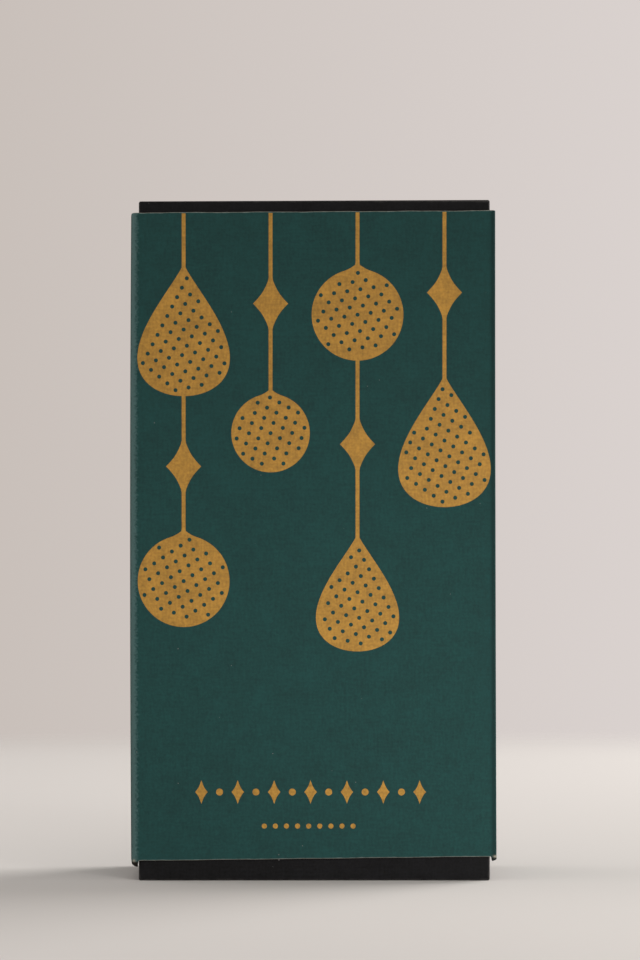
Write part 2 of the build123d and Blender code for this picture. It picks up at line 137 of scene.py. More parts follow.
# Paper seen close: short pressed fibres that lie two ways over soft clouds of thicker pulp.
grain_share, lain_share, fine_share = 0.5, 0.25, 0.75
pulp, given, result = new_group("pressed_fibres", ["Place"], ["Fibres", "Clouds"], ["Tone", "Height"])
grain = noise(pulp, given["Place"], given["Fibres"], 3.0)
cloud = noise(pulp, given["Place"], given["Clouds"], 3.0)
lain = [noise(pulp, stretched(pulp, given["Place"], way), given["Fibres"], 1.0)
        for way in ((0.2, 1, 1), (1, 1, 0.2))]
both_ways = reckon(pulp, "MULTIPLY", reckon(pulp, "ADD", *lain), lain_share)
fine = reckon(pulp, "MULTIPLY_ADD", grain, grain_share, both_ways)
mottle = reckon(pulp, "MULTIPLY_ADD", fine, fine_share, reckon(pulp, "MULTIPLY", cloud, 1 - fine_share))
feed(pulp, result, {"Tone": mottle, "Height": fine})

# Wear on an edge: strongest on it, gone at the reach, and broken up by rubbing. On the sleeve's folds the
# same mask also lays a painted sheen.
patch_level, patch_softness = 0.78, 0.6
rubbing, given, result = new_group("rubbed_edge", ["Place"], ["Distance", "Reach", "Grain"], ["Mask"])
nearness = reckon(rubbing, "SUBTRACT", 1.0, reckon(rubbing, "DIVIDE", given["Distance"], given["Reach"]))
patches = noise(rubbing, given["Place"], given["Grain"], 4.0)
broken = reckon(rubbing, "ADD", nearness, reckon(rubbing, "SUBTRACT", patches, patch_level))
within_reach = reckon(rubbing, "GREATER_THAN", nearness, 0.0)
worn = reckon(rubbing, "MULTIPLY", ranged(rubbing, broken, (0.0, patch_softness), soft=True), within_reach)
rubbing.links.new(worn, result["Mask"])

# Lint and dust: a few cells of a scattered pattern hold one small speck each, of varied size.
least_speck, speck_spread, speck_core = 0.05, 0.09, 0.7
dusting, given, result = new_group("dust_specks", ["Place"], ["Pitch", "Share"], ["Mask"])
closeness = reckon(dusting, "DIVIDE", 1.0, given["Pitch"])
cells = shader(dusting, "TexVoronoi", {"Vector": given["Place"], "Scale": closeness}).outputs
chance = shader(dusting, "SeparateColor", {0: cells["Color"]}).outputs
size = reckon(dusting, "MULTIPLY_ADD", chance[1], speck_spread, least_speck)
outward_share = reckon(dusting, "DIVIDE", cells["Distance"], size)
speck = ranged(dusting, outward_share, (speck_core, 1.0), (1.0, 0.0), True)
chosen = reckon(dusting, "LESS_THAN", chance[0], given["Share"])
dusting.links.new(reckon(dusting, "MULTIPLY", speck, chosen), result["Mask"])

# Distance to the nearest edge of a box: the middle one of the distances to its three pairs of faces.
edging, given, result = new_group("distance_to_box_edge", ["Place", "Half", "Middle"], [], ["Distance"])
folded = reckon_places(edging, "ABSOLUTE", reckon_places(edging, "SUBTRACT", given["Place"], given["Middle"]))
deep = shader(edging, "SeparateXYZ", {0: reckon_places(edging, "SUBTRACT", given["Half"], folded)}).outputs
nearer, further = reckon(edging, "MINIMUM", deep[0], deep[1]), reckon(edging, "MAXIMUM", deep[0], deep[1])
middle_depth = reckon(edging, "MAXIMUM", nearer, reckon(edging, "MINIMUM", further, deep[2]))
edging.links.new(middle_depth, result["Distance"])

lint, lint_pitch, lint_strength = (0.30, 0.28, 0.26), 1.6 * mm, 0.5


def paper_material(name, ink, fibres, clouds, spread, roughness, gloss, relief, dust=0.0):
    """Pressed paper or board: its fibres shade, roughen and raise it, and some dust lies on it."""
    made, tree, surface = new_material(name)
    place = object_place(tree)
    fibre = effect(tree, pulp, Place=place, Fibres=fibres, Clouds=clouds)
    shade = ranged(tree, fibre["Tone"], (0.36, 0.64), spread)
    colour = shader(tree, "VectorMath", {0: ink, "Scale": shade}, operation="SCALE").outputs[0]
    if dust:
        specks = effect(tree, dusting, Place=place, Pitch=lint_pitch, Share=dust)["Mask"]
        colour = blend_colours(tree, reckon(tree, "MULTIPLY", specks, lint_strength), colour, lint)
    rough = ranged(tree, fibre["Tone"], (0.3, 0.7), roughness)
    feed(tree, surface, {"Base Color": colour, "Roughness": rough, "Specular IOR Level": gloss})
    raise_surface(tree, surface, fibre["Height"], 0.5, relief)
    return made, tree, surface, place, colour


def rub(tree, surface, place, colour, distance, reach, grain, strength, rubbed):
    """Blends a rubbed colour over a surface near an edge, whose distance is a shader value. On the sleeve's
    left fold the colour is also a painted sheen.
    """
    wear = effect(tree, rubbing, Place=place, Distance=distance, Reach=reach, Grain=grain)["Mask"]
    blended = blend_colours(tree, reckon(tree, "MULTIPLY", wear, strength), colour, rubbed)
    tree.links.new(blended, surface["Base Color"])
    return blended


def node_box(node):
    """The low corner, the high corner and the middle of a CAD node's box."""
    low, high = map(np.array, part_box(node))
    return low, high, (low + high) / 2


def wrapped_paper(name, node):
    """Black paper pasted round a CAD node's box, greyed where its edges are rubbed."""
    black, rubbed = (0.0044, 0.0043, 0.0047), (0.060, 0.056, 0.053)
    made, tree, surface, place, colour = paper_material(
        name, black, fibres=1500, clouds=160, spread=(0.1, 2.3), roughness=(0.55, 0.82), gloss=0.13,
        relief=0.08 * mm, dust=0.12)
    low, high, middle = node_box(node)
    distance = effect(tree, edging, Place=place, Half=(high - low) / 2, Middle=middle)["Distance"]
    rub(tree, surface, place, colour, distance, 0.8 * mm, grain=420, strength=0.55, rubbed=rubbed)
    return made


def fan_volume(loops):
    """Six times the signed volume between the origin and faces, each cut into a fan of triangles."""
    first = np.broadcast_to(loops[:, :1], loops[:, 1:-1].shape)
    return np.einsum("ijk,ijk->", first, np.cross(loops[:, 1:-1], loops[:, 2:]))


def grid_body(points, wrapped=False, first_cap=True, last_cap=True):
    """Vertices and faces of one body on a grid, turned outwards.

    Vertex (i, j) is points[i, j], and each face joins two rows and two columns. The last column is
    joined to the first. A wrapped body joins its last row to its first as well. On another body a cap
    fills the first or last row. A body whose signed volume is negative is turned round.
    """
    rows, columns = points.shape[:2]
    index = np.arange(rows * columns).reshape(rows, columns)
    here = index if wrapped else index[:-1]
    above = np.roll(index, -1, axis=0) if wrapped else index[1:]
    corners = [here, np.roll(here, -1, axis=1), np.roll(above, -1, axis=1), above]
    faces = np.stack(corners, axis=-1).reshape(-1, 4)
    flat = points.reshape(-1, 3)
    caps = [] if wrapped else [index[0][::-1]] * first_cap + [index[-1]] * last_cap
    volume = fan_volume(flat[faces]) + sum(fan_volume(flat[cap][None]) for cap in caps)
    filled = faces.tolist() + [cap.tolist() for cap in caps]
    return flat, [face[::-1] for face in filled] if volume < 0 else filled


def new_piece(name, bodies, material, smooth=35):
    """One object from several bodies, smooth except where faces meet at more than an angle."""
    start, vertices, faces = 0, [], []
    for flat, body in bodies:
        faces += [[corner + start for corner in face] for face in body]
        vertices.append(np.asarray(flat))
        start += len(flat)
    mesh = bpy.data.meshes.new(name)
    mesh.from_pydata(np.concatenate(vertices).tolist(), [], faces)
    mesh.polygons.foreach_set("use_smooth", np.ones(len(mesh.polygons), bool))
    mesh.set_sharp_from_angle(angle=math.radians(smooth))
    mesh.materials.append(material)
    made = bpy.data.objects.new(name, mesh)
    bpy.context.scene.collection.objects.link(made)
    return made


def stands_for(piece, body, slot, *replaced):
    """The piece rides on a body and stands for CAD nodes. Its slot is not used."""
    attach(piece, body)
    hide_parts(*replaced)


def rounded_ring(half_x, half_y, radius, corner_steps=8, side_steps=26):
    """A rounded rectangle: each corner's centre plus its radius times a quarter circle, joined by sides."""
    quarter = np.linspace(0, math.pi / 2, corner_steps + 1)
    ring = []
    for turn, (sign_x, sign_y) in enumerate(((1, 1), (-1, 1), (-1, -1), (1, -1))):
        angle = quarter + turn * math.pi / 2
        centre = np.array([sign_x * (half_x - radius), sign_y * (half_y - radius)])
        ring.append(centre + radius * np.stack([np.cos(angle), np.sin(angle)], axis=1))
    joined = []
    for arc, following in zip(ring, ring[1:] + ring[:1]):
        share = np.linspace(0, 1, side_steps + 1)[1:-1, None]
        joined += [arc, arc[-1] * (1 - share) + following[0] * share]
    return np.concatenate(joined)


def wrapped_box(node, body, opens_up, material, slope=0.0):
    """An open box: one profile of the wall, from under the floor over the rim to the floor inside.

    The profile's inset from the outline and its height are carried round a rounded rectangle. The
    paper turned in over the rim ends in a step inside. Slow waves of the wrap are added to the inset.
    The closed end may slope: it rises to the right by the slope, and the rim not at all.
    """
    wall, paper, turn_in, wave_height = 1.6 * mm, 0.12 * mm, 13 * mm, 0.035 * mm
    outline, foot_radius, rim_radius, least_radius = 0.7 * mm, 0.5 * mm, 0.35 * mm, 0.1 * mm
    low, high, centre = node_box(node)
    height = high[2] - low[2]
    half_x, half_y = (high - low)[:2] / 2
    bend = np.linspace(0, math.pi / 2, 6)
    foot = np.stack([foot_radius * (1 - np.sin(bend)), foot_radius * (1 - np.cos(bend))], axis=1)
    climb = np.linspace(foot_radius, height - rim_radius, 16)[1:-1]
    side = np.stack([climb * 0, climb], axis=1)
    outer_rim = np.stack([rim_radius * (1 - np.cos(bend)), height - rim_radius * (1 - np.sin(bend))], axis=1)
    inner_rim = np.stack([wall - outer_rim[::-1, 0], outer_rim[::-1, 1]], axis=1)
    turned_in = height - min(turn_in, height / 2)
    step = np.array([[wall, turned_in], [wall - paper, turned_in - paper], [wall - paper, wall]])
    rows = []
    for inset, level in np.concatenate([foot, side, outer_rim, inner_rim, step]):
        ring = rounded_ring(half_x - inset, half_y - inset, max(outline - inset, least_radius))
        waves = np.sin(ring[:, 0] * 95 + level * 60) * np.sin(ring[:, 1] * 130 + level * 45)
        ring = ring * (1 + wave_height * waves[:, None] / half_y)
        z = low[2] + level if opens_up else high[2] - level
        risen = z + slope * ring[:, 0] / half_x * (1 - level / height)
        rows.append(np.column_stack([ring + centre[:2], risen]))
    made = new_piece(f"{node}_wrapped", [grid_body(np.array(rows))], material)
    stands_for(made, body, "black_box_paper", node)


wrapped_box("box_base", "box", True, wrapped_paper("black_wrap_of_base", "box_base"))

# Collar: four walls of thinner board in the same black paper, glued inside the base. It stands 12 mm
# above the rim and guides the lid, which rubs its upper edge.


def soft_copy(node, slot, material, width):
    """Stands for a CAD solid: its triangles are merged into flat faces and its hard edges bevelled."""
    work = bmesh.new()
    work.from_mesh(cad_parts[node].data)
    bmesh.ops.remove_doubles(work, verts=work.verts, dist=0.001 * mm)
    bmesh.ops.dissolve_limit(work, angle_limit=math.radians(0.5), verts=work.verts, edges=work.edges)
    work.verts.index_update()
    merged = [v.co[:] for v in work.verts], [[v.index for v in face.verts] for face in work.faces]
    work.free()
    made = new_piece(f"{node}_soft_edged", [merged], material)
    bevel = made.modifiers.new("soft_edge", "BEVEL")
    bevel.width, bevel.segments = width, 2
    bevel.limit_method, bevel.angle_limit = "ANGLE", math.radians(35)
    stands_for(made, "box", slot, node)


soft_copy("box_neck", "black_box_paper", wrapped_paper("black_wrap_of_collar", "box_neck"), 0.25 * mm)

# Lid: a tall greyboard box in the same black paper, open below, which slides down over the collar
# and meets the base's rim under the sleeve. Only 3 mm of it shows above the sleeve.
wrapped_box("box_lid", "lid", False, wrapped_paper("black_wrap_of_lid", "box_lid"), 0.2 * mm)

# Sleeve: one sheet of half-millimetre uncoated board printed green outside, scored and folded round
# the box. Its glue flap lies inside the back panel. It hangs over to the left, where the side panel
# bows out from a soft fold. On the right the fold is sharp and the panel nearly flat.
card, flap_width, free_edge_gap = 0.5 * mm, 14 * mm, 0.7 * mm
left_play, right_play, face_play = 1.3 * mm, 0.95 * mm, 0.3 * mm
left_bow, right_bow = 1.25 * mm, 0.6 * mm
soft_reach, sharp_reach = 3.0 * mm, 0.7 * mm
lid_low, lid_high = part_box("box_lid")
left_x = lid_low[0] - left_play - card / 2
right_x = lid_high[0] + right_play + card / 2
front_y = lid_low[1] - face_play - card / 2
flap_y = lid_high[1] + face_play + card / 2
back_y = flap_y + card
front_top_left, front_top_right = 180.6 * mm, 181.2 * mm
front_foot_left, front_foot_right = 5.4 * mm, 6.6 * mm


def bowed(start, end, bow, count=160):
    """Points from start to end, pushed sideways by a parabola that is bow high in its middle."""
    share = np.linspace(0, 1, count)[:, None]
    line = np.array(start) * (1 - share) + np.array(end) * share
    line[:, :1] += bow * 4 * share * (1 - share)
    return line


def sheet_line():
    """The sheet's middle line, seen from above, from the glue flap's end round to the back's free edge.

    The panels are joined with sharp corners and walked in even steps. Each point is then averaged
    with its neighbours inside a fold's reach, which rounds the folds and leaves the panels flat. The
    reach is the sharp one on the right and the soft one on the left, and changes over the middle.
    """
    step, change_width = 0.05 * mm, 30 * mm
    panels = [
        bowed((right_x - sharp_reach - flap_width, flap_y), (right_x, flap_y), 0),
        bowed((right_x, flap_y), (right_x, front_y), right_bow),
        bowed((right_x, front_y), (left_x, front_y), 0),
        bowed((left_x, front_y), (left_x, back_y), -left_bow),
        bowed((left_x, back_y), (right_x - free_edge_gap, back_y), 0),
    ]
    sharp = np.concatenate([panel[:-1] for panel in panels] + [panels[-1][-1:]])
    walked = np.concatenate([[0], np.cumsum(np.linalg.norm(np.diff(sharp, axis=0), axis=1))])
    corners = np.cumsum([np.linalg.norm(np.diff(panel, axis=0), axis=1).sum() for panel in panels])[:-1]
    even = np.arange(0, walked[-1], step)
    line = np.stack([np.interp(even, walked, sharp[:, axis]) for axis in (0, 1)], axis=1)
    smoothed = []
    for fold_reach in (sharp_reach, soft_reach):
        reach = int(fold_reach / step)
        window = np.hanning(2 * reach + 1)
        window /= window.sum()
        before = line[:1] + (line[0] - line[1]) * np.arange(reach, 0, -1)[:, None]
        after = line[-1:] + (line[-1] - line[-2]) * np.arange(1, reach + 1)[:, None]
        padded = np.concatenate([before, line, after])
        averaged = [np.convolve(padded[:, axis], window, "valid") for axis in (0, 1)]
        smoothed.append(np.stack(averaged, axis=1))
    softness = np.clip(0.5 - line[:, :1] / change_width, 0, 1)
    return even, smoothed[0] * (1 - softness) + smoothed[1] * softness, corners


def uneven_steps(even, corners, finest=0.16 * mm, coarsest=3.2 * mm, spread=7 * mm):
    """Picks places along the sheet, close together at the folds and further apart on the panels."""
    gap = np.abs(even[:, None] - corners[None, :]).min(axis=1)
    share = np.clip((gap - soft_reach) / spread, 0, 1)
    pace = finest + (coarsest - finest) * share
    count = np.cumsum(1 / pace)
    count /= count[-1]
    picks = int(round((even[1] / pace).sum()))
    return np.interp(np.linspace(0, 1, picks), np.concatenate([[0], count[1:]]), even), gap


def at_places(along, even, values):
    """Both columns of values that belong to even steps, read off at other places along the sheet."""
    return np.stack([np.interp(along, even, values[:, axis]) for axis in (0, 1)], axis=1)


even, line, corners = sheet_line()
along, gap = uneven_steps(even, corners)
middle_line = at_places(along, even, line)
tangent = at_places(along, even, np.gradient(line, axis=0))
tangent /= np.linalg.norm(tangent, axis=1)[:, None]
outward = np.stack([-tangent[:, 1], tangent[:, 0]], axis=1)
fold_gap = np.interp(along, even, gap)
across = np.clip((middle_line[:, 0] - left_x) / (right_x - left_x), 0, 1)

# Two ears hang from the foot at the front folds, where the card is torn: each is deepest at its front
# end and runs out to nothing along the side panel.
ear_step = 0.35 * mm
left_ear_depth, left_ear_run, left_ear_inset = 1.75 * mm, 6.4 * mm, 1.4 * mm
right_ear_depth, right_ear_run, right_ear_inset = 1.3 * mm, 3.6 * mm, 1.1 * mm


def torn_ear(walked, run):
    """A short smooth rise to 1 at the ear's front end, then straight down to 0 over its run."""
    rise = np.clip(walked / ear_step + 0.5, 0, 1)
    return np.clip(1 - walked / run, 0, 1) * rise * rise * (3 - 2 * rise)


cut_wander = 0.05 * mm * np.sin(along * 310) + 0.03 * mm * np.sin(along * 1170 + 1.3)
top_edge = front_top_left * (1 - across) + front_top_right * across + cut_wander
front_foot = front_foot_left * (1 - across) + front_foot_right * across
left_ear = left_ear_depth * torn_ear(along - corners[2] + left_ear_inset, left_ear_run)
right_ear = right_ear_depth * torn_ear(corners[1] + right_ear_inset - along, right_ear_run)
foot_edge = front_foot - left_ear - right_ear - 0.7 * cut_wander

# Once round the sheet's thickness at each place along it: up the printed face, over the cut edge,
# down the bare face and back under the lower cut edge. The levels lie closer near both cut edges.
burr, half_card, level_scale = 0.11 * mm, card / 2, 170 * mm
foot_levels, panel_levels = np.arange(0, 4, 0.25) * mm, np.linspace(5 * mm, 165 * mm, 25)
top_levels = level_scale - np.array([1.5, 0.5, 0]) * mm
levels = np.concatenate([foot_levels, panel_levels, top_levels]) / level_scale
flat_levels, rim_depth = np.zeros(len(levels)), half_card - burr
loop_depth = np.concatenate([[rim_depth], flat_levels + half_card, [rim_depth, -rim_depth],
                             flat_levels - half_card, [-rim_depth]])
loop_share = np.concatenate([[0], levels, [1, 1], levels[::-1], [0]])
loop_lift = np.concatenate([[-burr], flat_levels, [burr, burr], flat_levels, [-burr]])
panel_height = (top_edge - foot_edge)[:, None] - 2 * burr
sheet_z = foot_edge[:, None] + burr + panel_height * loop_share + loop_lift
sheet_xy = middle_line[:, None, :] + outward[:, None, :] * loop_depth[None, :, None]

# The left panel bulges a little at middle height, and the right one leans out towards its foot.
left_bulge, right_lean, sheet_foot, sheet_tall = 0.3 * mm, 0.35 * mm, 6 * mm, 175 * mm
height_share = np.clip((sheet_z - sheet_foot) / sheet_tall, 0, 1)
towards_left = np.clip(1 - 2 * across, 0, 1)[:, None] ** 4
towards_right = np.clip(2 * across - 1, 0, 1)[:, None] ** 4
sheet_xy[:, :, 0] -= left_bulge * towards_left * 4 * height_share * (1 - height_share)
sheet_xy[:, :, 0] += right_lean * towards_right * (1 - height_share) ** 2
sheet_points = np.concatenate([sheet_xy, sheet_z[:, :, None]], axis=2)


def ridge(run, middle, width, height):
    """A rounded ridge: as high as said where a run is at its middle, and nearly gone two widths away."""
    return height * np.exp(-((run - middle) / width) ** 2)


def mark_points(piece, name, values):
    """Stores one number at each vertex, for the piece's material."""
    stored = piece.data.attributes.new(name, "FLOAT", "POINT")
    stored.data.foreach_set("value", np.ravel(values).astype(np.float32))


def marked(tree, name):
    """The number that a piece stores under a name."""
    return shader(tree, "Attribute", attribute_name=name).outputs["Fac"]


def sleeve_board(name, ink, rubbed, cut_reach, cut_strength, dust=0.0):
    """Uncoated board: fibres tint and roughen it, and its folds and cut edges are rubbed to the core.

    On the left fold the rubbed colour is also a painted sheen. The torn ears are painted dark with shade
    over their board, the right fold's ink is painted darker with shade, and the core is bare where a fold
    meets the foot.
    """
    made, tree, surface, place, colour = paper_material(
        name, ink, fibres=1500, clouds=150, spread=(0.78, 1.24), roughness=(0.62, 0.84), gloss=0.16,
        relief=0.07 * mm, dust=dust)
    # On the folds, mostly the left one, the rub is partly wear and partly a painted sheen.
    wear = (("fold_gap", 2.5 * mm, 1500, 0.36), ("cut_gap", cut_reach, 520, cut_strength))
    for gap_name, reach, grain, strength in wear:
        colour = rub(tree, surface, place, colour, marked(tree, gap_name), reach, grain, strength, rubbed)
    # The ears' colour is brown board painted dark with shade, and the right fold's is the green ink painted
    # darker with shade.
    torn_ear_painted_shade, right_fold_shade_colour, bare = (0.006, 0.0038, 0.0022), (0.003, 0.013, 0.012), (0.42, 0.37, 0.29)
    for mark, under in (("torn_ear", torn_ear_painted_shade), ("right_fold_painted_shade", right_fold_shade_colour), ("bared_core", bare)):
        colour = blend_colours(tree, marked(tree, mark), colour, under)
    tree.links.new(colour, surface["Base Color"])
    return made


# The green rubbed colour is the pale core at the cut edges, and on the left fold it is also a painted sheen.
green_ink, green_rub_and_sheen = (0.0112, 0.0505, 0.0468), (0.16, 0.25, 0.245)
brown_board, brown_rubbed = (0.150, 0.098, 0.058), (0.32, 0.26, 0.18)
cut_board, cut_rubbed = (0.11, 0.112, 0.095), (0.50, 0.46, 0.38)
printed_face = sleeve_board("green_uncoated_board", green_ink, green_rub_and_sheen, 0.40 * mm, 0.6, dust=0.02)
bare_face = sleeve_board("bare_brown_board", brown_board, brown_rubbed, 0.3 * mm, 0.7)
cut_face = sleeve_board("cut_board_edge", cut_board, cut_rubbed, 0.2 * mm, 0.45)
sleeve = new_piece("printed_sleeve_card", [grid_body(sheet_points)], printed_face)
sleeve.data.materials.append(bare_face)
sleeve.data.materials.append(cut_face)

# The printed face, the bare face and the cut edges have a material each. Every point stores how far
# it is from a fold and from a cut edge, how much painted shade lies on it at a torn ear and along the
# right fold, and how much it is bared there.
columns, faces_high = len(loop_share), len(levels)
face_column = np.tile(np.arange(columns), len(along) - 1)
outer = (face_column >= 1) & (face_column < faces_high)
inner = (face_column > faces_high + 2) & (face_column < columns - 2)
paint = np.full(len(sleeve.data.polygons), 2)
paint[: len(face_column)] = np.select([outer, inner], [0, 1], default=2)
sleeve.data.polygons.foreach_set("material_index", paint)
# The right fold is spared the left fold's painted sheen, and a painted shade darkens its ink instead.
right_fold_sheen_spared, right_fold_shade_shift, right_fold_shade_width, right_fold_shade_strength = 2.1 * mm, 0.45 * mm, 0.6 * mm, 0.62
torn_shade_start, torn_shade_blend, core_width, core_height, core_share = 0.1 * mm, 0.25 * mm, 0.6 * mm, 0.3 * mm, 0.8
below_foot = front_foot[:, None] - sheet_z
to_fold = np.abs(along[:, None] - corners[1:3]).min(axis=1)[:, None]
right_fold_shade_mask = ridge(along[:, None], corners[1] + right_fold_shade_shift, right_fold_shade_width, right_fold_shade_strength)
marks = {
    "fold_gap": fold_gap[:, None] + right_fold_sheen_spared * towards_right + 0 * sheet_z,
    "cut_gap": np.minimum(sheet_z - foot_edge[:, None], top_edge[:, None] - sheet_z),
    # Below the foot the torn ears take a painted shade over their board.
    "torn_ear": np.clip((below_foot - torn_shade_start) / torn_shade_blend, 0, 1),
    "right_fold_painted_shade": right_fold_shade_mask + 0 * sheet_z,
    "bared_core": ridge(to_fold, 0, core_width, core_share) * ridge(below_foot, 0, core_height, 1),
}
for name, values in marks.items():
    mark_points(sleeve, name, values)
stands_for(sleeve, "sleeve", "green_sleeve_card", "printed_sleeve")

# Print: flat gold ink on the front panel. Thin lines hang from the top edge and carry drops, round
# baubles and lozenges, the large ones pierced with rows of dots. Two small borders stand below.
full_turn = 2 * math.pi
ink_rise, line_half, top_margin = 0.02 * mm, 0.525 * mm, 0.3 * mm
dot_radius, dot_pitch, dot_margin, row_share = 0.56 * mm, 3.6 * mm, 0.6 * mm, 0.62


def drop_outline(width, height, taper=1.5, count=73):
    """Half a drop from its top: sideways sin(a) sin(a/2) to a power, upwards the cosine of a."""
    angle = np.linspace(0, math.pi, count)
    swell = np.sin(angle) * np.sin(angle / 2) ** taper
    return np.stack([width / 2 * swell / swell.max(), height / 2 * np.cos(angle)], axis=1)


def round_outline(radius, peak_height=0.13, peak_reach=0.3, count=65):
    """Half a circle from its top, where it is drawn up a little to its line."""
    angle = np.linspace(0, math.pi, count)
    peak = peak_height * radius * np.clip(1 - angle / peak_reach, 0, 1) ** 2
    return np.stack([radius * np.sin(angle), radius * np.cos(angle) + peak], axis=1)


def lozenge_outline(width, height, waist=0.16, count=13):
    """Half a lozenge from its top: two sides, drawn in towards the middle by the waist's share."""
    share = np.linspace(0, 1, count)
    drawn_in = 1 - waist * 4 * share * (1 - share)
    upper = np.stack([width / 2 * share, height / 2 * (1 - share)], axis=1) * drawn_in[:, None]
    return np.concatenate([upper, upper[-2::-1] * [1, -1]])


def whole(half_outline, last=0):
    """A half outline and its mirror image, once round."""
    return np.concatenate([half_outline, half_outline[-2:last:-1] * [-1, 1]])


def inside(outline, places):
    """Which places lie inside an outline: an odd number of its sides lie to their right."""
    x, y = places[:, None, 0], places[:, None, 1]
    x1, y1 = outline[None, :, 0], outline[None, :, 1]
    x2, y2 = np.roll(x1, -1, axis=1), np.roll(y1, -1, axis=1)
    level = (y1 > y) != (y2 > y)
    cross_x = x1 + (y - y1) * (x2 - x1) / np.where(y2 == y1, 1e-12, y2 - y1)
    return (level & (x < cross_x)).sum(axis=1) % 2 == 1


def disc_outline(centre, radius, count=16):
    """A small circle round its centre."""
    angle = np.linspace(0, full_turn, count, endpoint=False)
    return np.array(centre) + radius * np.stack([np.cos(angle), np.sin(angle)], axis=1)


def dot_places(outline, tilt):
    """Staggered rows of dots, turned by the tilt, kept where a dot and its margin lie inside."""
    span = np.arange(-14, 15)
    column, row = np.meshgrid(span, span)
    rows = [(column + 0.5 * (row % 2)) * dot_pitch, row * dot_pitch * row_share]
    turned = [[math.cos(tilt), math.sin(tilt)], [-math.sin(tilt), math.cos(tilt)]]
    grid = np.stack(rows, axis=-1).reshape(-1, 2) @ np.array(turned)
    margin = disc_outline((0, 0), dot_radius + dot_margin, 12)
    return grid[np.all([inside(outline, grid + offset) for offset in margin], axis=0)]


big_drop, small_drop = drop_outline(25 * mm, 36 * mm), drop_outline(22.5 * mm, 32 * mm)
bauble, small_bauble = round_outline(12.4 * mm), round_outline(10.6 * mm)
lozenge = lozenge_outline(9.5 * mm, 16 * mm)
hangings = {
    -35.3 * mm: [(big_drop, 149 * mm, 0.2), (lozenge, 112 * mm, None), (bauble, 81 * mm, -0.3)],
    -11.8 * mm: [(lozenge, 156 * mm, None), (small_bauble, 121 * mm, 0.4)],
    11.7 * mm: [(bauble, 153 * mm, 0.15), (lozenge, 118 * mm, None), (small_drop, 78 * mm, -0.2)],
    35.2 * mm: [(lozenge, 159 * mm, None), (big_drop, 119 * mm, 0.3)],
}
outlines = []
for x, ornaments in hangings.items():
    share = (x - left_x) / (right_x - left_x)
    side = [[[line_half, front_top_left * (1 - share) + front_top_right * share - top_margin]]]
    for number, (half_outline, z, tilt) in enumerate(ornaments, start=1):
        width, height = half_outline.T
        tail = (number == len(ornaments)) & (height < 0)
        side.append(np.column_stack([np.where(tail, width, np.maximum(width, line_half)), height + z]))
        if tilt is not None:
            dots = dot_places(whole(half_outline), tilt) + [x, z]
            outlines += [disc_outline(dot, dot_radius) for dot in dots]
    outlines.append(whole(np.concatenate(side), None) + [x, 0])
upper_z, upper_x, upper_half = 24 * mm, -1 * mm, 29.5 * mm
for number in range(13):
    small = disc_outline((0, 0), 0.95 * mm)
    if number % 2 == 0:
        small = whole(lozenge_outline(3.4 * mm, 6.4 * mm, count=5))
    outlines.append(small + [upper_x + upper_half * (number - 6) / 6, upper_z])
lower_z, lower_x, lower_half = 14.8 * mm, -1.5 * mm, 12 * mm
for number in range(9):
    outlines.append(disc_outline((lower_x + lower_half * (number - 4) / 4, lower_z), 0.7 * mm))

# The outlines are filled as a flat curve, drawn a thousand times too large so that no small point is
# lost, and then brought down onto the panel's face as a mesh.
stencil = bpy.data.curves.new("gold_print_outline", "CURVE")
stencil.dimensions = "2D"
stencil.fill_mode = "BOTH"
for outline in outlines:
    spline = stencil.splines.new("POLY")
    spline.points.add(len(outline) - 1)
    spread_out = np.column_stack([outline / mm, np.zeros(len(outline)), np.ones(len(outline))])
    spline.points.foreach_set("co", spread_out.ravel())
    spline.use_cyclic_u = True
stencil_object = bpy.data.objects.new("gold_print_outline", stencil)
bpy.context.scene.collection.objects.link(stencil_object)
bpy.context.view_layer.update()
evaluated = stencil_object.evaluated_get(bpy.context.evaluated_depsgraph_get())
flat_print = bpy.data.meshes.new_from_object(evaluated)
bpy.data.objects.remove(stencil_object)
flat = np.zeros(len(flat_print.vertices) * 3, np.float32)
flat_print.vertices.foreach_get("co", flat)
flat = flat.reshape(-1, 3) * mm
placed = np.column_stack([flat[:, 0], np.full(len(flat), front_y - half_card), flat[:, 1]])
flat_print.vertices.foreach_set("co", placed.astype(np.float32).ravel())
flat_print.update()
gold_ink, _, surface, _, _ = paper_material(
    "flat_gold_ink", (0.390, 0.204, 0.032), fibres=1500, clouds=190, spread=(0.70, 1.30),
    roughness=(0.5, 0.62), gloss=0.3, relief=0.06 * mm)
surface["Metallic"].default_value = 0.15
flat_print.materials.clear()
flat_print.materials.append(gold_ink)
gold_print = bpy.data.objects.new("gold_front_print", flat_print)
bpy.context.scene.collection.objects.link(gold_print)
thickness = gold_print.modifiers.new("ink", "SOLIDIFY")
thickness.thickness = 2 * ink_rise
thickness.offset = 0
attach(gold_print, "sleeve")

# Leaflet: one long strip of thin paper, folded to and fro into four layers, flat on the base's floor.
leaflet_low, leaflet_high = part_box("folded_leaflet")
leaflet_paper = paper_material(
    "leaflet_paper", (0.72, 0.70, 0.64), fibres=1800, clouds=120, spread=(0.9, 1.08),
    roughness=(0.6, 0.8), gloss=0.3, relief=0.04 * mm)[0]


def sideways(line):
    """Unit steps square to a line of points, to its left."""
    heading = np.gradient(line, axis=0)
    heading /= np.linalg.norm(heading, axis=1)[:, None]
    return np.stack([-heading[:, 1], heading[:, 0]], axis=1)


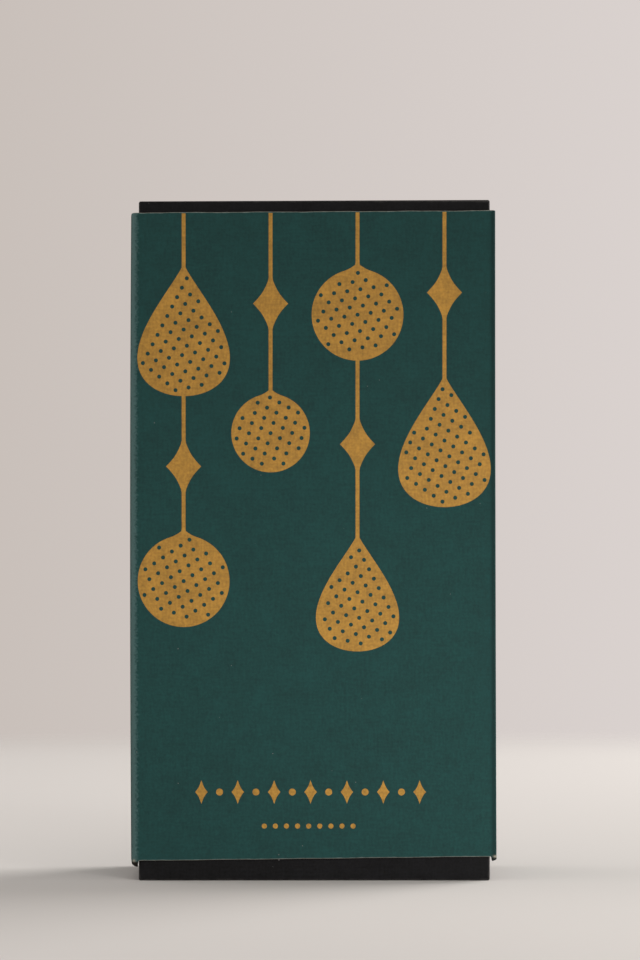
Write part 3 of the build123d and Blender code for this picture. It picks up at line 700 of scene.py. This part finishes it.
layers, leaf_half, fold_room, fold_swell = 4, 0.07 * mm, 0.6 * mm, 0.5 * mm
layer_pitch = (leaflet_high[2] - leaflet_low[2] - 2 * leaf_half) / (layers - 1)
ends = leaflet_low[0] + fold_room, leaflet_high[0] - fold_room
turn = np.linspace(-math.pi / 2, math.pi / 2, 7)[1:-1]
path = []
for layer in range(layers):
    level = leaflet_low[2] + leaf_half + layer * layer_pitch
    start, end = ends if layer % 2 == 0 else ends[::-1]
    run = np.linspace(start, end, 24)
    path.append(np.column_stack([run, level + 0.02 * mm * np.sin(run * 160 + layer)]))
    if layer < layers - 1:
        outwards = fold_swell if layer % 2 == 0 else -fold_swell
        fold_rise = level + layer_pitch / 2 * (1 + np.sin(turn))
        path.append(np.column_stack([end + outwards * np.cos(turn), fold_rise]))
path = np.concatenate(path)
beside = sideways(path) * leaf_half
section = np.concatenate([path + beside, (path - beside)[::-1]])
depth = np.linspace(leaflet_low[1], leaflet_high[1], 8)
strip = np.stack(np.broadcast_arrays(section[None, :, 0], depth[:, None], section[None, :, 1]), axis=2)
leaflet = new_piece("folded_leaflet_strip", [grid_body(strip)], leaflet_paper)
stands_for(leaflet, "box", "leaflet_paper", "folded_leaflet")

# Fitment: black card, die cut and folded. A floor lies on the leaflet, the display card stands on it
# with its two sides folded back, and two shelves are glued between them behind the card.
insert_black = paper_material(
    "black_fitment_card", (0.0072, 0.0072, 0.0078), fibres=1500, clouds=140, spread=(0.6, 1.4),
    roughness=(0.62, 0.85), gloss=0.18, relief=0.06 * mm, dust=0.03)[0]
for node in ("insert_floor", "insert_card", "shelf_middle", "shelf_guide"):
    soft_copy(node, "black_insert_card", insert_black, 0.14 * mm)

# Bell bracket: three arms stamped from brass sheet, flat against the card, with a hole at each end
# where a bell hangs once the chime is put together. The peg's flange holds it. Like all the metal
# here it has been handled, which leaves soft stains, and fine scratches that cross two ways.
handling, given, result = new_group("handled_metal", ["Place"], ["Fine"], ["Stain", "Scratch"])
cloudy = noise(handling, stretched(handling, given["Place"], (90, 90, 90)), 1.0, 4.0)
streaks = [noise(handling, stretched(handling, given["Place"], way), given["Fine"], 2.0)
           for way in ((1, 0.6, 0.04), (0.05, 0.6, 1))]
crossed = reckon(handling, "MULTIPLY", reckon(handling, "ADD", *streaks), 0.5)
feed(handling, result, {"Stain": ranged(handling, cloudy, (0.42, 0.72), soft=True), "Scratch": crossed})


def metal(name, bright, dull, roughness, marks=0.0):
    """Handled metal: darker, rougher stains and fine scratches, and fine rings left by turning.

    The rings vary with the length along the turned profile alone, which the piece stores.
    """
    made, tree, surface = new_material(name)
    stain, scratch = effect(tree, handling, Place=object_place(tree), Fine=2400.0).values()
    stain_tints, stain_roughens, scratch_roughens = 0.7, 0.16, 0.08
    colour = blend_colours(tree, reckon(tree, "MULTIPLY", stain, stain_tints), bright, dull)
    stained = reckon(tree, "MULTIPLY_ADD", stain, stain_roughens, roughness)
    rough = reckon(tree, "MULTIPLY_ADD", scratch, scratch_roughens, stained)
    feed(tree, surface, {"Base Color": colour, "Metallic": 1.0, "Roughness": rough})
    height = scratch
    if marks:
        rings = noise(tree, marked(tree, "turned_length"), 3200.0, 2.0, noise_dimensions="1D")
        height = reckon(tree, "MULTIPLY_ADD", rings, marks, scratch)
    raise_surface(tree, surface, height, 0.35, 0.02 * mm)
    return made


sheet_brass = metal("stamped_sheet_brass", (0.83, 0.60, 0.27), (0.62, 0.38, 0.14), 0.2)
turned_brass = metal("turned_brass", (0.80, 0.57, 0.25), (0.56, 0.34, 0.13), 0.24, 1.4)
soft_copy("bell_bracket", "brass_sheet", sheet_brass, 0.16 * mm)

# Turbine peg: black plastic, pushed through the card and the bracket, with a head behind, a flange
# in front and a smooth spindle that the turbine's cap turns on.


def eased(profile, radius, closed=False, steps=3):
    """A profile whose corners are parabolas between points that lie a radius away on their legs."""
    profile = np.asarray(profile, float)
    corner = profile if closed else profile[1:-1]
    before = np.roll(profile, 1, axis=0) if closed else profile[:-2]
    after = np.roll(profile, -1, axis=0) if closed else profile[2:]
    share = np.linspace(0, 1, steps + 1)[None, :, None]
    ends = []
    for other in (before, after):
        leg = other - corner
        length = np.linalg.norm(leg, axis=1)[:, None]
        ends.append((corner + leg / length * np.minimum(radius, 0.45 * length))[:, None])
    arc = ends[0] * (1 - share) ** 2 + 2 * corner[:, None] * share * (1 - share) + ends[1] * share ** 2
    arc = arc.reshape(-1, 2)
    return arc if closed else np.concatenate([profile[:1], arc, profile[-1:]])


def turned_grid(profile, centre, axis="y", columns=48):
    """A body of revolution on a grid: each point (radius, length) of a profile goes round the axis.

    Its place is the centre, plus the radius times cosine and sine across the axis, plus the length
    along it. The profile is in millimetres.
    """
    profile = np.asarray(profile, float) * mm
    angle = np.linspace(0, full_turn, columns, endpoint=False)
    along_axis = np.broadcast_to(profile[:, 1:], (len(profile), columns))
    across_1, across_2 = profile[:, :1] * np.cos(angle), profile[:, :1] * np.sin(angle)
    order = (across_1, along_axis, across_2) if axis == "y" else (across_1, across_2, along_axis)
    return np.stack(order, axis=2) + np.array(centre)


def turned_piece(node, finish, grids, slot, material, wrapped=False, smooth=35, body="box"):
    """Stands for a CAD node with turned grids, and stores the length along each one's profile."""
    made = new_piece(f"{node}_{finish}", [grid_body(grid, wrapped) for grid in grids], material, smooth)
    lengths = []
    for grid in grids:
        steps = np.linalg.norm(np.diff(grid[:, 0], axis=0), axis=1)
        lengths.append(np.repeat(np.concatenate([[0], np.cumsum(steps)]), grid.shape[1]))
    mark_points(made, "turned_length", np.concatenate(lengths))
    stands_for(made, body, slot, node)


axis_point = 0.02
peg_plastic, tree, surface = new_material("black_peg_plastic")
place = object_place(tree)
rough = ranged(tree, noise(tree, place, 2600.0), (0.3, 0.7), (0.34, 0.5))
feed(tree, surface, {"Base Color": (0.016, 0.016, 0.018, 1), "Roughness": rough})
raise_surface(tree, surface, ranged(tree, noise(tree, place, 700.0), (0.3, 0.7)), 0.25, 0.03 * mm)
_, peg_high, peg_middle = node_box("turbine_peg")
peg_profile = eased([
    (axis_point, 0), (3.2, -0.12), (5.0, -0.35), (5.0, -1.2), (2.5, -1.2), (2.5, -3.2), (4.4, -3.2),
    (4.4, -4.2), (1.9, -4.2), (1.4, -4.8), (1.4, -14.6), (0.9, -15.25), (axis_point, -15.35)], 0.25)
peg = turned_grid(peg_profile, (peg_middle[0], peg_high[1], peg_middle[2]))
turned_piece("turbine_peg", "moulded", [peg], "peg_plastic", peg_plastic)

# Turbine wheel: stamped from one disc of brass sheet. The twelve vanes are cut free and twisted out of
# the wheel's plane beside the hub, which keeps a pressed ring. The bearing cap is riveted in its hole.
vane_count, vane_tilt, sheet_half = 12, math.radians(35), 0.25
twist_start, twist_end, tip_start, tip_radius = 11.3, 17.0, 35.0, 37.0
root_half, tip_half, bowl_depth, tip_round = 2.45, 7.25, 0.55, 0.32
hub_low, hub_high, ring_radius, ring_width, ring_depth = 2.6, 13.0, 8.4, 0.7, 0.45
wheel_centre = node_box("turbine_wheel")[2]

spoke = np.concatenate([
    np.linspace(twist_start, twist_end, 14)[:-1],
    np.linspace(twist_end, tip_start, 14)[:-1],
    tip_radius - (tip_radius - tip_start) * (1 - np.sin(np.linspace(0, math.pi / 2, 8))),
])[:, None]
grown = np.clip((spoke - twist_start) / (twist_end - twist_start), 0, 1)
twist = vane_tilt * grown * grown * (3 - 2 * grown)
half_width = root_half + (tip_half - root_half) * (spoke - twist_start) / (tip_radius - twist_start)
tip_share = (spoke - tip_start).clip(0) / (tip_radius - tip_start)
half_width = half_width * np.sqrt(np.clip(1 - tip_round * tip_share ** 2, 0, 1))
side = np.linspace(-1, 1, 13)
side = np.concatenate([side, side[::-1]])[None, :]
face = np.repeat([sheet_half, -sheet_half], 13)[None, :]
bowl = bowl_depth * (1 - side ** 2) * grown * (half_width / tip_half)
tangential = side * half_width * np.cos(twist) - (face + bowl) * np.sin(twist)
forward = side * half_width * np.sin(twist) + (face + bowl) * np.cos(twist)
vanes = []
for number in range(vane_count):
    angle = number * full_turn / vane_count
    x = np.cos(angle) * spoke - np.sin(angle) * tangential
    z = np.sin(angle) * spoke + np.cos(angle) * tangential
    vanes.append(grid_body(np.stack([x, -forward, z], axis=2) * mm + wheel_centre))
hub_radius = np.concatenate([np.linspace(hub_low, hub_high, 42), np.linspace(hub_high, hub_low, 42)])
pressed = ridge(hub_radius, ring_radius, ring_width, ring_depth)
hub_section = np.stack([hub_radius, np.repeat([-sheet_half, sheet_half], 42) - pressed], axis=1)
hub = grid_body(turned_grid(hub_section, wheel_centre, columns=96), True)
wheel = new_piece("turbine_wheel_stamped", [hub] + vanes, sheet_brass, 50)
stands_for(wheel, "turbine", "brass_sheet", "turbine_wheel")

cap_profile = eased([
    (axis_point, 0.8), (1.2, 0.8), (1.48, 0.95), (1.48, 5.85), (4.2, 5.85), (4.5, 5.6), (4.5, 5.35),
    (2.6, 5.35), (2.6, 3.6), (2.42, 3.45), (2.42, 3.2), (2.6, 3.05), (2.6, 1.1), (2.3, 0.35),
    (1.6, 0.05), (axis_point, 0)], 0.15)
cap = turned_grid(cap_profile, (wheel_centre[0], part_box("pivot_cap")[0][1], wheel_centre[2]))
turned_piece("pivot_cap", "turned", [cap], "brass_turned", turned_brass, body="turbine")

# Bells: three cups spun from thin brass, mouths against the card. Each has a rolled lip, two turned
# lines and a waist, and a pin with a round head goes through its crown into the card.
bell_wall, bell_lip, bell_waist, bell_hole = 0.7, 8.78, 6.84, 1.15
bell_shoulder, bell_crown = 3.61, 9.5
height_up = np.linspace(0, bell_shoulder, 20)
lines = sum(ridge(height_up, level, width=0.16, height=0.13) for level in (1.5, 2.15))
lip_roll = ridge(height_up, 0.35, width=0.3, height=0.22)
flare = bell_waist + (bell_lip - bell_waist) * (1 - height_up / bell_shoulder) ** 2
climb = np.linspace(0, math.acos(bell_hole / bell_waist), 26)[1:]
dome_x = bell_waist * np.cos(climb)
dome_z = bell_shoulder + (bell_crown - bell_shoulder) * np.sin(climb) / math.sin(climb[-1])
inner_x = np.maximum(dome_x - bell_wall * np.cos(climb), bell_hole)
inner_z = dome_z - bell_wall * np.sin(climb)
bell_section = np.stack([
    np.concatenate([flare + lip_roll - lines, dome_x, inner_x[::-1], (flare - bell_wall)[::-1]]),
    -np.concatenate([height_up, dome_z, inner_z[::-1], height_up[::-1]]),
], axis=1)
pin_profile = eased([(axis_point, -11.4), (0.9, -11.3), (1.7, -10.85), (2.0, -10.25), (1.9, -10.2),
                     (1.0, -10.2), (1.0, 0.0), (axis_point, 0.3)], 0.15)
pins = []
for number in (1, 2, 3):
    _, bell_high, (bell_x, _, bell_z) = node_box(f"bell_{number}")
    bell = turned_grid(bell_section, (bell_x, bell_high[1], bell_z), columns=72)
    turned_piece(f"bell_{number}", "spun", [bell], "brass_sheet", turned_brass, True)
    pins.append(turned_grid(pin_profile, (bell_x, 0, bell_z), columns=28))
turned_piece("bell_pins", "turned", pins, "brass_turned", turned_brass)

# Pendants: four stars and three crescents stamped from brass sheet, each with an eye for its wire.
# A star has a small faceted star pressed up in its middle, and both have a row of pressed dots.


def pressed_dot(face_point, reach, angle, radius, rise=0.24):
    """A low round dot on a flat face, at a reach and angle from a point: a quarter ellipse carried round."""
    climb = np.linspace(0, math.pi / 2, 6)
    profile = np.stack([radius * np.cos(climb), -rise * np.sin(climb)], axis=1)
    profile[-1, 0] = axis_point
    profile = np.concatenate([[[radius, 0.1]], profile])
    centre = face_point + reach * mm * np.array([math.cos(angle), 0, math.sin(angle)])
    return grid_body(turned_grid(profile, centre, columns=14))


def stamped_pendant(node, raised):
    """A pendant of sheet brass, and its raised parts as a piece of their own that rides with it."""
    soft_copy(node, "brass_sheet", sheet_brass, 0.12 * mm)
    relief = new_piece(f"{node}_relief", raised, sheet_brass, 20)
    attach(relief, "box")


star_tip, star_notch, raised_share, facet_rise, star_dot_reach = 9.5, 4.2, 0.46, 0.42, 6.2
star_angle = np.radians(90 + 36 * np.arange(10))
star_reach = np.where(np.arange(10) % 2, star_notch, star_tip) * raised_share * mm
star_middles = []
for number in (1, 2, 3, 4):
    node = f"star_pendant_{number}"
    low, high, middle = node_box(node)
    centre = np.array([middle[0], low[1], high[2] - star_tip * mm])
    star_middles.append(centre)
    rings = []
    for share, ahead in ((1.0, -0.1), (1.0, 0.0), (0.01, facet_rise)):
        reach = star_reach * share
        offsets = [reach * np.cos(star_angle), np.full(10, -ahead * mm), reach * np.sin(star_angle)]
        rings.append(centre + np.stack(offsets, axis=1))
    dots = [pressed_dot(centre, star_dot_reach, angle, 0.5) for angle in star_angle[2::2]]
    stamped_pendant(node, [grid_body(np.array(rings))] + dots)

moon_radius, moon_bite, bite_offset, dot_share = 8.0, 6.6, 3.2, 0.14
moon_turn = np.radians(np.arange(132, 250, 16.0))
bite_reach = np.sqrt(moon_bite ** 2 - (bite_offset * np.sin(moon_turn)) ** 2)
moon_inner = bite_offset * np.cos(moon_turn) + bite_reach
moon_reach, dot_radii = (moon_radius + moon_inner) / 2, dot_share * (moon_radius - moon_inner)
moon_middles = []
for number in (1, 2, 3):
    node = f"moon_pendant_{number}"
    low, _, middle = node_box(node)
    centre = np.array([low[0] + moon_radius * mm, low[1], middle[2]])
    moon_middles.append(centre)
    stamped_pendant(node, [pressed_dot(centre, reach, angle, radius)
                           for reach, angle, radius in zip(moon_reach, moon_turn, dot_radii)])

# Wire staples: bent brass wire. The upper leg goes through the card and the lower one through the
# pendant's eye.
wire_radius, wire_bend, hook_drop = 0.4, 0.7, 7.0
leg_end, staple_front, lower_leg_end = 0.3, -1.9, -0.8
star_eye, moon_eye_reach, moon_eye_angle = 5.4, 6.4, math.radians(110)
moon_eye = moon_eye_reach * math.cos(moon_eye_angle), moon_eye_reach * math.sin(moon_eye_angle)
staple_places = [(x / mm, z / mm + star_eye) for x, _, z in star_middles]
staple_places += [(x / mm + moon_eye[0], z / mm + moon_eye[1]) for x, _, z in moon_middles]
staples = []
for x, eye_height in staple_places:
    card_height = eye_height + hook_drop
    legs = [(leg_end, card_height), (staple_front, card_height), (staple_front, eye_height),
            (lower_leg_end, eye_height)]
    bent = eased(legs, wire_bend, steps=8)
    angle = np.linspace(0, full_turn, 12, endpoint=False)
    wire_x = np.broadcast_to(x + wire_radius * np.cos(angle), (len(bent), 12))
    wire_yz = bent[:, None, :] + wire_radius * np.sin(angle)[None, :, None] * sideways(bent)[:, None, :]
    staples.append(np.concatenate([wire_x[:, :, None], wire_yz], axis=2) * mm)
turned_piece("pendant_hooks", "bent", staples, "brass_turned", turned_brass)

# Base plate: a disc of brass sheet with an upturned, rolled rim and two pressed rings. It stands on
# edge behind the card. Its four drawn candle cups are riveted to it with their mouths to the back.
plate_thick, roll_radius, roll_middle = 0.8, 0.48, (38.02, 1.52)
plate_run = np.concatenate([np.linspace(3.0, 12.0, 8), np.linspace(12.5, 16.0, 15),
                            np.linspace(17, 34.2, 8), np.linspace(34.8, 37.4, 13)])
inner_ring = ridge(plate_run, 14.2, width=0.6, height=0.35)
rings = inner_ring + ridge(plate_run, 36.1, width=0.5, height=0.3)
plate_front = np.stack([plate_run, rings * 0.9], axis=1)
plate_back = np.stack([plate_run, plate_thick + rings], axis=1)
roll = np.radians(np.linspace(-60, 200, 14))
rolled_rim = roll_middle + roll_radius * np.stack([np.cos(roll), np.sin(roll)], axis=1)
upturn = eased([(37.6, 0.0), (38.5, 0.0), (38.5, 1.0)], 0.6, steps=5)
plate_section = np.concatenate([plate_front, upturn, rolled_rim, [(37.65, 1.05)], plate_back[::-1]])
plate_low, _, (plate_x, _, plate_z) = node_box("base_plate")
plate_centre = np.array([plate_x, plate_low[1], plate_z])
plate = turned_grid(plate_section, plate_centre, columns=120)
turned_piece("base_plate", "pressed", [plate], "brass_sheet", sheet_brass, True)

cup_section = eased([
    (1.2, 0), (6.0, 0), (6.9, 0.9), (6.78, 6.5), (6.9, 12.0), (7.1, 12.5), (7.8, 12.6), (7.8, 13.0),
    (6.9, 13.0), (6.4, 12.4), (6.28, 6.5), (6.4, 1.2), (5.8, 0.5), (1.2, 0.5)], 0.35, True)
rivet_profile = eased([(axis_point, 0), (1.2, 0), (1.2, 1.3), (2.4, 1.3), (2.3, 1.62), (1.5, 1.95),
                       (axis_point, 2.0)], 0.12)
rivets = []
for number in (1, 2, 3, 4):
    node = f"candle_cup_{number}"
    cup_low, _, (cup_x, _, cup_z) = node_box(node)
    cup = turned_grid(cup_section, (cup_x, cup_low[1], cup_z), columns=64)
    turned_piece(node, "drawn", [cup], "brass_sheet", sheet_brass, True)
    rivets.append(turned_grid(rivet_profile, (cup_x, plate_low[1], cup_z), columns=28))
turned_piece("cup_rivets", "peened", rivets, "brass_turned", turned_brass)

# Pole socket: a hexagonal nut with chamfered ends, riveted in the plate's centre. Each row gives its
# radius, its length and whether the six flats cut it.
flat_radius, columns = 4.0, 72
corner_angle = np.mod(np.linspace(0, full_turn, columns, endpoint=False), full_turn / 6) - full_turn / 12
hexagon = flat_radius / np.cos(corner_angle)
socket_rows = [(2.1, 0.0, 0), (3.0, 0.0, 0), (3.0, 0.8, 0), (4.15, 0.8, 1), (4.7, 1.2, 1),
               (4.7, 8.1, 1), (4.1, 8.8, 1), (2.5, 8.8, 0), (2.1, 8.4, 0)]
socket_grid = turned_grid([(1.0, length) for _, length, _ in socket_rows], (0, 0, 0), columns=columns)
socket_radius = np.array([np.minimum(hexagon, reach) if flats else np.full(columns, reach)
                          for reach, _, flats in socket_rows])
socket_grid[:, :, ::2] *= socket_radius[:, :, None]
turned_piece("pole_socket", "nut", [socket_grid + plate_centre], "brass_turned", turned_brass,
             True, 25)

# Poles: two lengths of turned brass rod, standing in the lanes beside the candles. The lower one is
# bored at its top. The upper one has a threaded spigot at its foot and holds the steel needle that
# the turbine runs on.


def turned_ends(start, end, bore):
    """A rod's profile between two lengths, with a chamfer and three turned lines at each end."""
    lines = []
    for length in (start + 3.0, start + 4.2, start + 5.4, end - 5.4, end - 4.2, end - 3.0):
        lines += [(2.0, length - 0.3), (1.78, length - 0.12), (1.78, length + 0.12), (2.0, length + 0.3)]
    return [(1.65, start), (2.0, start + 0.35)] + lines + [(2.0, end - 0.35), (1.65, end), (bore, end)]


def foot_and_length(node):
    """The middle of an upright CAD node's foot, and its length in millimetres."""
    low, high, middle = node_box(node)
    return np.array([middle[0], middle[1], low[2]]), (high[2] - low[2]) / mm


lower_foot, lower_length = foot_and_length("pole_lower")
lower_profile = [(axis_point, 0)] + turned_ends(0, lower_length, 1.2)
lower_profile += [(1.2, lower_length - 8), (axis_point, lower_length - 8.6)]
lower = turned_grid(eased(lower_profile, 0.1, steps=2), lower_foot, "z", 40)
turned_piece("pole_lower", "turned", [lower], "brass_turned", turned_brass)

upper_foot, upper_length = foot_and_length("pole_upper")
thread_pitch, thread_depth, thread_radius, spigot_length = 0.5, 0.16, 1.1, 8.0
thread_run = np.arange(0.5, 7.4, thread_pitch / 8)
upper_profile = [(axis_point, 0), (0.75, 0)] + [(thread_radius, length) for length in thread_run]
upper_profile += [(0.92, 7.6), (0.92, spigot_length)] + turned_ends(spigot_length, upper_length, 0.8)
upper_profile += [(0.8, upper_length - 8), (axis_point, upper_length - 8.2)]
upper_grid = turned_grid(upper_profile, (0, 0, 0), "z", 40)
around = np.linspace(0, full_turn, 40, endpoint=False)[None, :]
rows = slice(2, 2 + len(thread_run))
wave = 0.5 + 0.5 * np.cos(full_turn * thread_run[:, None] / thread_pitch - around)
upper_grid[rows, :, :2] *= (1 - thread_depth * wave)[:, :, None]
turned_piece("pole_upper", "threaded", [upper_grid + upper_foot], "brass_turned", turned_brass)

needle_steel = metal("ground_needle_steel", (0.60, 0.60, 0.61), (0.38, 0.36, 0.34), 0.16, 1.0)
needle_profile = eased([(axis_point, 0), (0.7, 0), (0.8, 0.2), (0.8, 11.8), (0.74, 12.3), (0.15, 15.9),
                        (axis_point, 16.0)], 0.1)
needle = turned_grid(needle_profile, foot_and_length("pivot_needle")[0], "z", 28)
turned_piece("pivot_needle", "ground", [needle], "steel_needle", needle_steel)

# Candles: four slim ivory candles, dipped, so a little thinner at their soft shoulders and gently
# uneven. Each stands on the middle shelf through the guide and has a braided cotton wick.
wax, tree, surface = new_material("ivory_wax")
place = object_place(tree)
bloom = ranged(tree, noise(tree, place, 260.0, 4.0), (0.35, 0.7), soft=True)
colour = blend_colours(tree, bloom, (0.80, 0.74, 0.61), (0.86, 0.82, 0.72))
feed(tree, surface, {"Base Color": colour, "Roughness": ranged(tree, bloom, (0, 1), (0.32, 0.5)),
                     "Subsurface Weight": 0.25, "Subsurface Scale": 1.5 * mm})
raise_surface(tree, surface, noise(tree, place, 500.0), 0.3, 0.1 * mm)
cotton, tree, surface = new_material("wick_cotton")
threads = noise(tree, stretched(tree, object_place(tree), (1, 1, 0.3)), 6000.0)
colour = blend_colours(tree, threads, (0.55, 0.52, 0.45), (0.85, 0.83, 0.76))
feed(tree, surface, {"Base Color": colour, "Roughness": 0.9})
raise_surface(tree, surface, threads, 0.5, 0.05 * mm)
wax_radius, dipped_taper, unevenness = 6.22, 0.16, 0.004
wick_radius, strand_rise, lay, wick_bend = 0.56, 0.11, 2.2, 0.25
around = np.linspace(0, full_turn, 56, endpoint=False)[None, :]
wick_around = around[:, ::3]
wicks, climb = [], np.linspace(0, 1, 30)
for number in (1, 2, 3, 4):
    foot, tall = foot_and_length(f"candle_{number}")
    profile = [(axis_point, 0), (5.9, 0)]
    profile += [(wax_radius - dipped_taper * share, 0.6 + (tall - 3.0) * share) for share in climb]
    profile += [(5.75, tall - 1.0), (4.9, tall - 0.25), (2.4, tall - 0.1), (1.1, tall - 0.3),
                (0.75, tall), (axis_point, tall)]
    grid = turned_grid(eased(profile, 0.5), (0, 0, 0), "z", 56)
    level = grid[:, :, 2] / mm
    lumps = np.sin(3 * around + 0.05 * level + number) * np.sin(0.13 * level + 2 * number)
    grid[:, :, :2] *= (1 + unevenness * lumps)[:, :, None]
    turned_piece(f"candle_{number}", "dipped", [grid + foot], "candle_wax", wax)
    wick_z = np.linspace(-0.6, 5.95, 44)[:, None]
    strand = wick_radius + strand_rise * np.cos(3 * wick_around - full_turn * wick_z / lay)
    strand = strand * np.where(wick_z > 5.7, 0.75, 1.0)
    bend = wick_bend * (wick_z.clip(0) / 6) ** 2
    wick_x = strand * np.cos(wick_around) + bend * math.cos(number)
    wick_y = strand * np.sin(wick_around) + bend
    wick = np.stack([wick_x, wick_y, np.broadcast_to(wick_z, wick_x.shape)], axis=2) * mm
    wicks.append(grid_body(wick + foot + [0, 0, tall * mm]))
wicks = new_piece("candle_wicks_braided", wicks, cotton, 60)
stands_for(wicks, "box", "wick_cotton", "candle_wicks")

# Camera: level, 85 cm ahead of the front, framed upwards so that the box stands low in the picture.
focal_pixels, image_height, horizon_row = 3142.0, 960.0, 600.0
eye_right, eye_ahead, eye_height = 1.56 * mm, 850 * mm, 75.9 * mm
camera_data = bpy.data.cameras.new("view_of_front")
camera_data.sensor_width = 36.0
camera_data.lens = focal_pixels / image_height * camera_data.sensor_width
camera_data.shift_y = (horizon_row - image_height / 2) / image_height
camera = bpy.data.objects.new("view_of_front", camera_data)
camera.location = (eye_right, lid_low[1] - eye_ahead, eye_height)
camera.rotation_euler = (math.pi / 2, 0, 0)
bpy.context.scene.collection.objects.link(camera)
bpy.context.scene.camera = camera
bpy.context.scene.view_settings.view_transform = "Standard"

# Floor: a plain pale disc, which fades out towards its rim into the pale backdrop.
floor_solid, floor_faded, floor_radius = 0.62, 1.02, 1.6
angle = np.linspace(0, full_turn, 96, endpoint=False)
reach = np.array([floor_radius, 0.9, 0.5, 0.2, 0.02])[:, None]
disc = np.stack([reach * np.cos(angle), reach * np.sin(angle), np.zeros((5, 96))], axis=2)
floor_paint, tree, surface = new_material("pale_floor")
tree.nodes.remove(tree.nodes["Principled BSDF"])
matt = shader(tree, "BsdfDiffuse", {"Color": (0.62, 0.585, 0.555, 1)})
clear = shader(tree, "BsdfTransparent")
radial = shader(tree, "VectorMath", {0: object_place(tree)}, operation="LENGTH").outputs["Value"]
faded = ranged(tree, radial, (floor_solid, floor_faded), soft=True)
fading = shader(tree, "MixShader", {0: faded, 1: matt.outputs[0], 2: clear.outputs[0]})
tree.links.new(fading.outputs[0], tree.nodes["Material Output"].inputs["Surface"])
floor = new_piece("pale_floor", [grid_body(disc, first_cap=False)], floor_paint)

# Light: an even pale room, with a broad soft window behind on the right, a weaker one on the left, a
# soft box far ahead, and a small gridded one that lights the foot of the front.
world = bpy.data.worlds.new("pale_room")
world.use_nodes = True
bpy.context.scene.world = world
tree = world.node_tree
ray = shader(tree, "LightPath").outputs
mirrored = reckon(tree, "MAXIMUM", ray["Is Glossy Ray"], ray["Is Transmission Ray"])
seen = reckon(tree, "MAXIMUM", ray["Is Camera Ray"], mirrored)
direction = shader(tree, "SeparateXYZ", {0: shader(tree, "TexCoord").outputs["Generated"]}).outputs
# The wall seen by the camera and in reflections is painted darker on the left and lighter on the right, as
# painted light of the window on the right.
side = ranged(tree, direction[0], (-0.11, 0.11))
wall = blend_colours(tree, side, (0.578, 0.521, 0.485), (0.701, 0.645, 0.624))
shown_wall = shader(tree, "Background", {"Color": wall, "Strength": 1.0})
room_light = shader(tree, "Background", {"Color": (1.0, 0.97, 0.95, 1), "Strength": 0.55})
both = shader(tree, "MixShader", {0: seen, 1: room_light.outputs[0], 2: shown_wall.outputs[0]})
tree.links.new(both.outputs[0], tree.nodes["World Output"].inputs["Surface"])


def soft_light(name, place, aim, size, watts, spread=180):
    """A square soft box at a place, turned towards what it lights, whose light fans out by some degrees."""
    data = bpy.data.lights.new(name, "AREA")
    data.size, data.energy, data.spread = size, watts, math.radians(spread)
    made = bpy.data.objects.new(name, data)
    made.location = place
    towards = np.array(aim) - np.array(place)
    flat_length = math.hypot(towards[0], towards[1])
    made.rotation_euler = (math.atan2(flat_length, -towards[2]), 0, math.atan2(-towards[0], towards[1]))
    bpy.context.scene.collection.objects.link(made)


box_middle, front_foot_middle = (0, 0, 0.09), (0.03, 0, 0.01)
soft_light("window_right", (0.95, 0.65, 0.75), box_middle, size=0.9, watts=16)
soft_light("window_left", (-1.1, 0.1, 0.5), box_middle, size=0.8, watts=3)
soft_light("room_front", (0.5, -1.5, 0.7), box_middle, size=1.2, watts=4)
soft_light("low_front", (0.3, -0.5, 0.1), front_foot_middle, size=0.15, watts=0.08, spread=40)
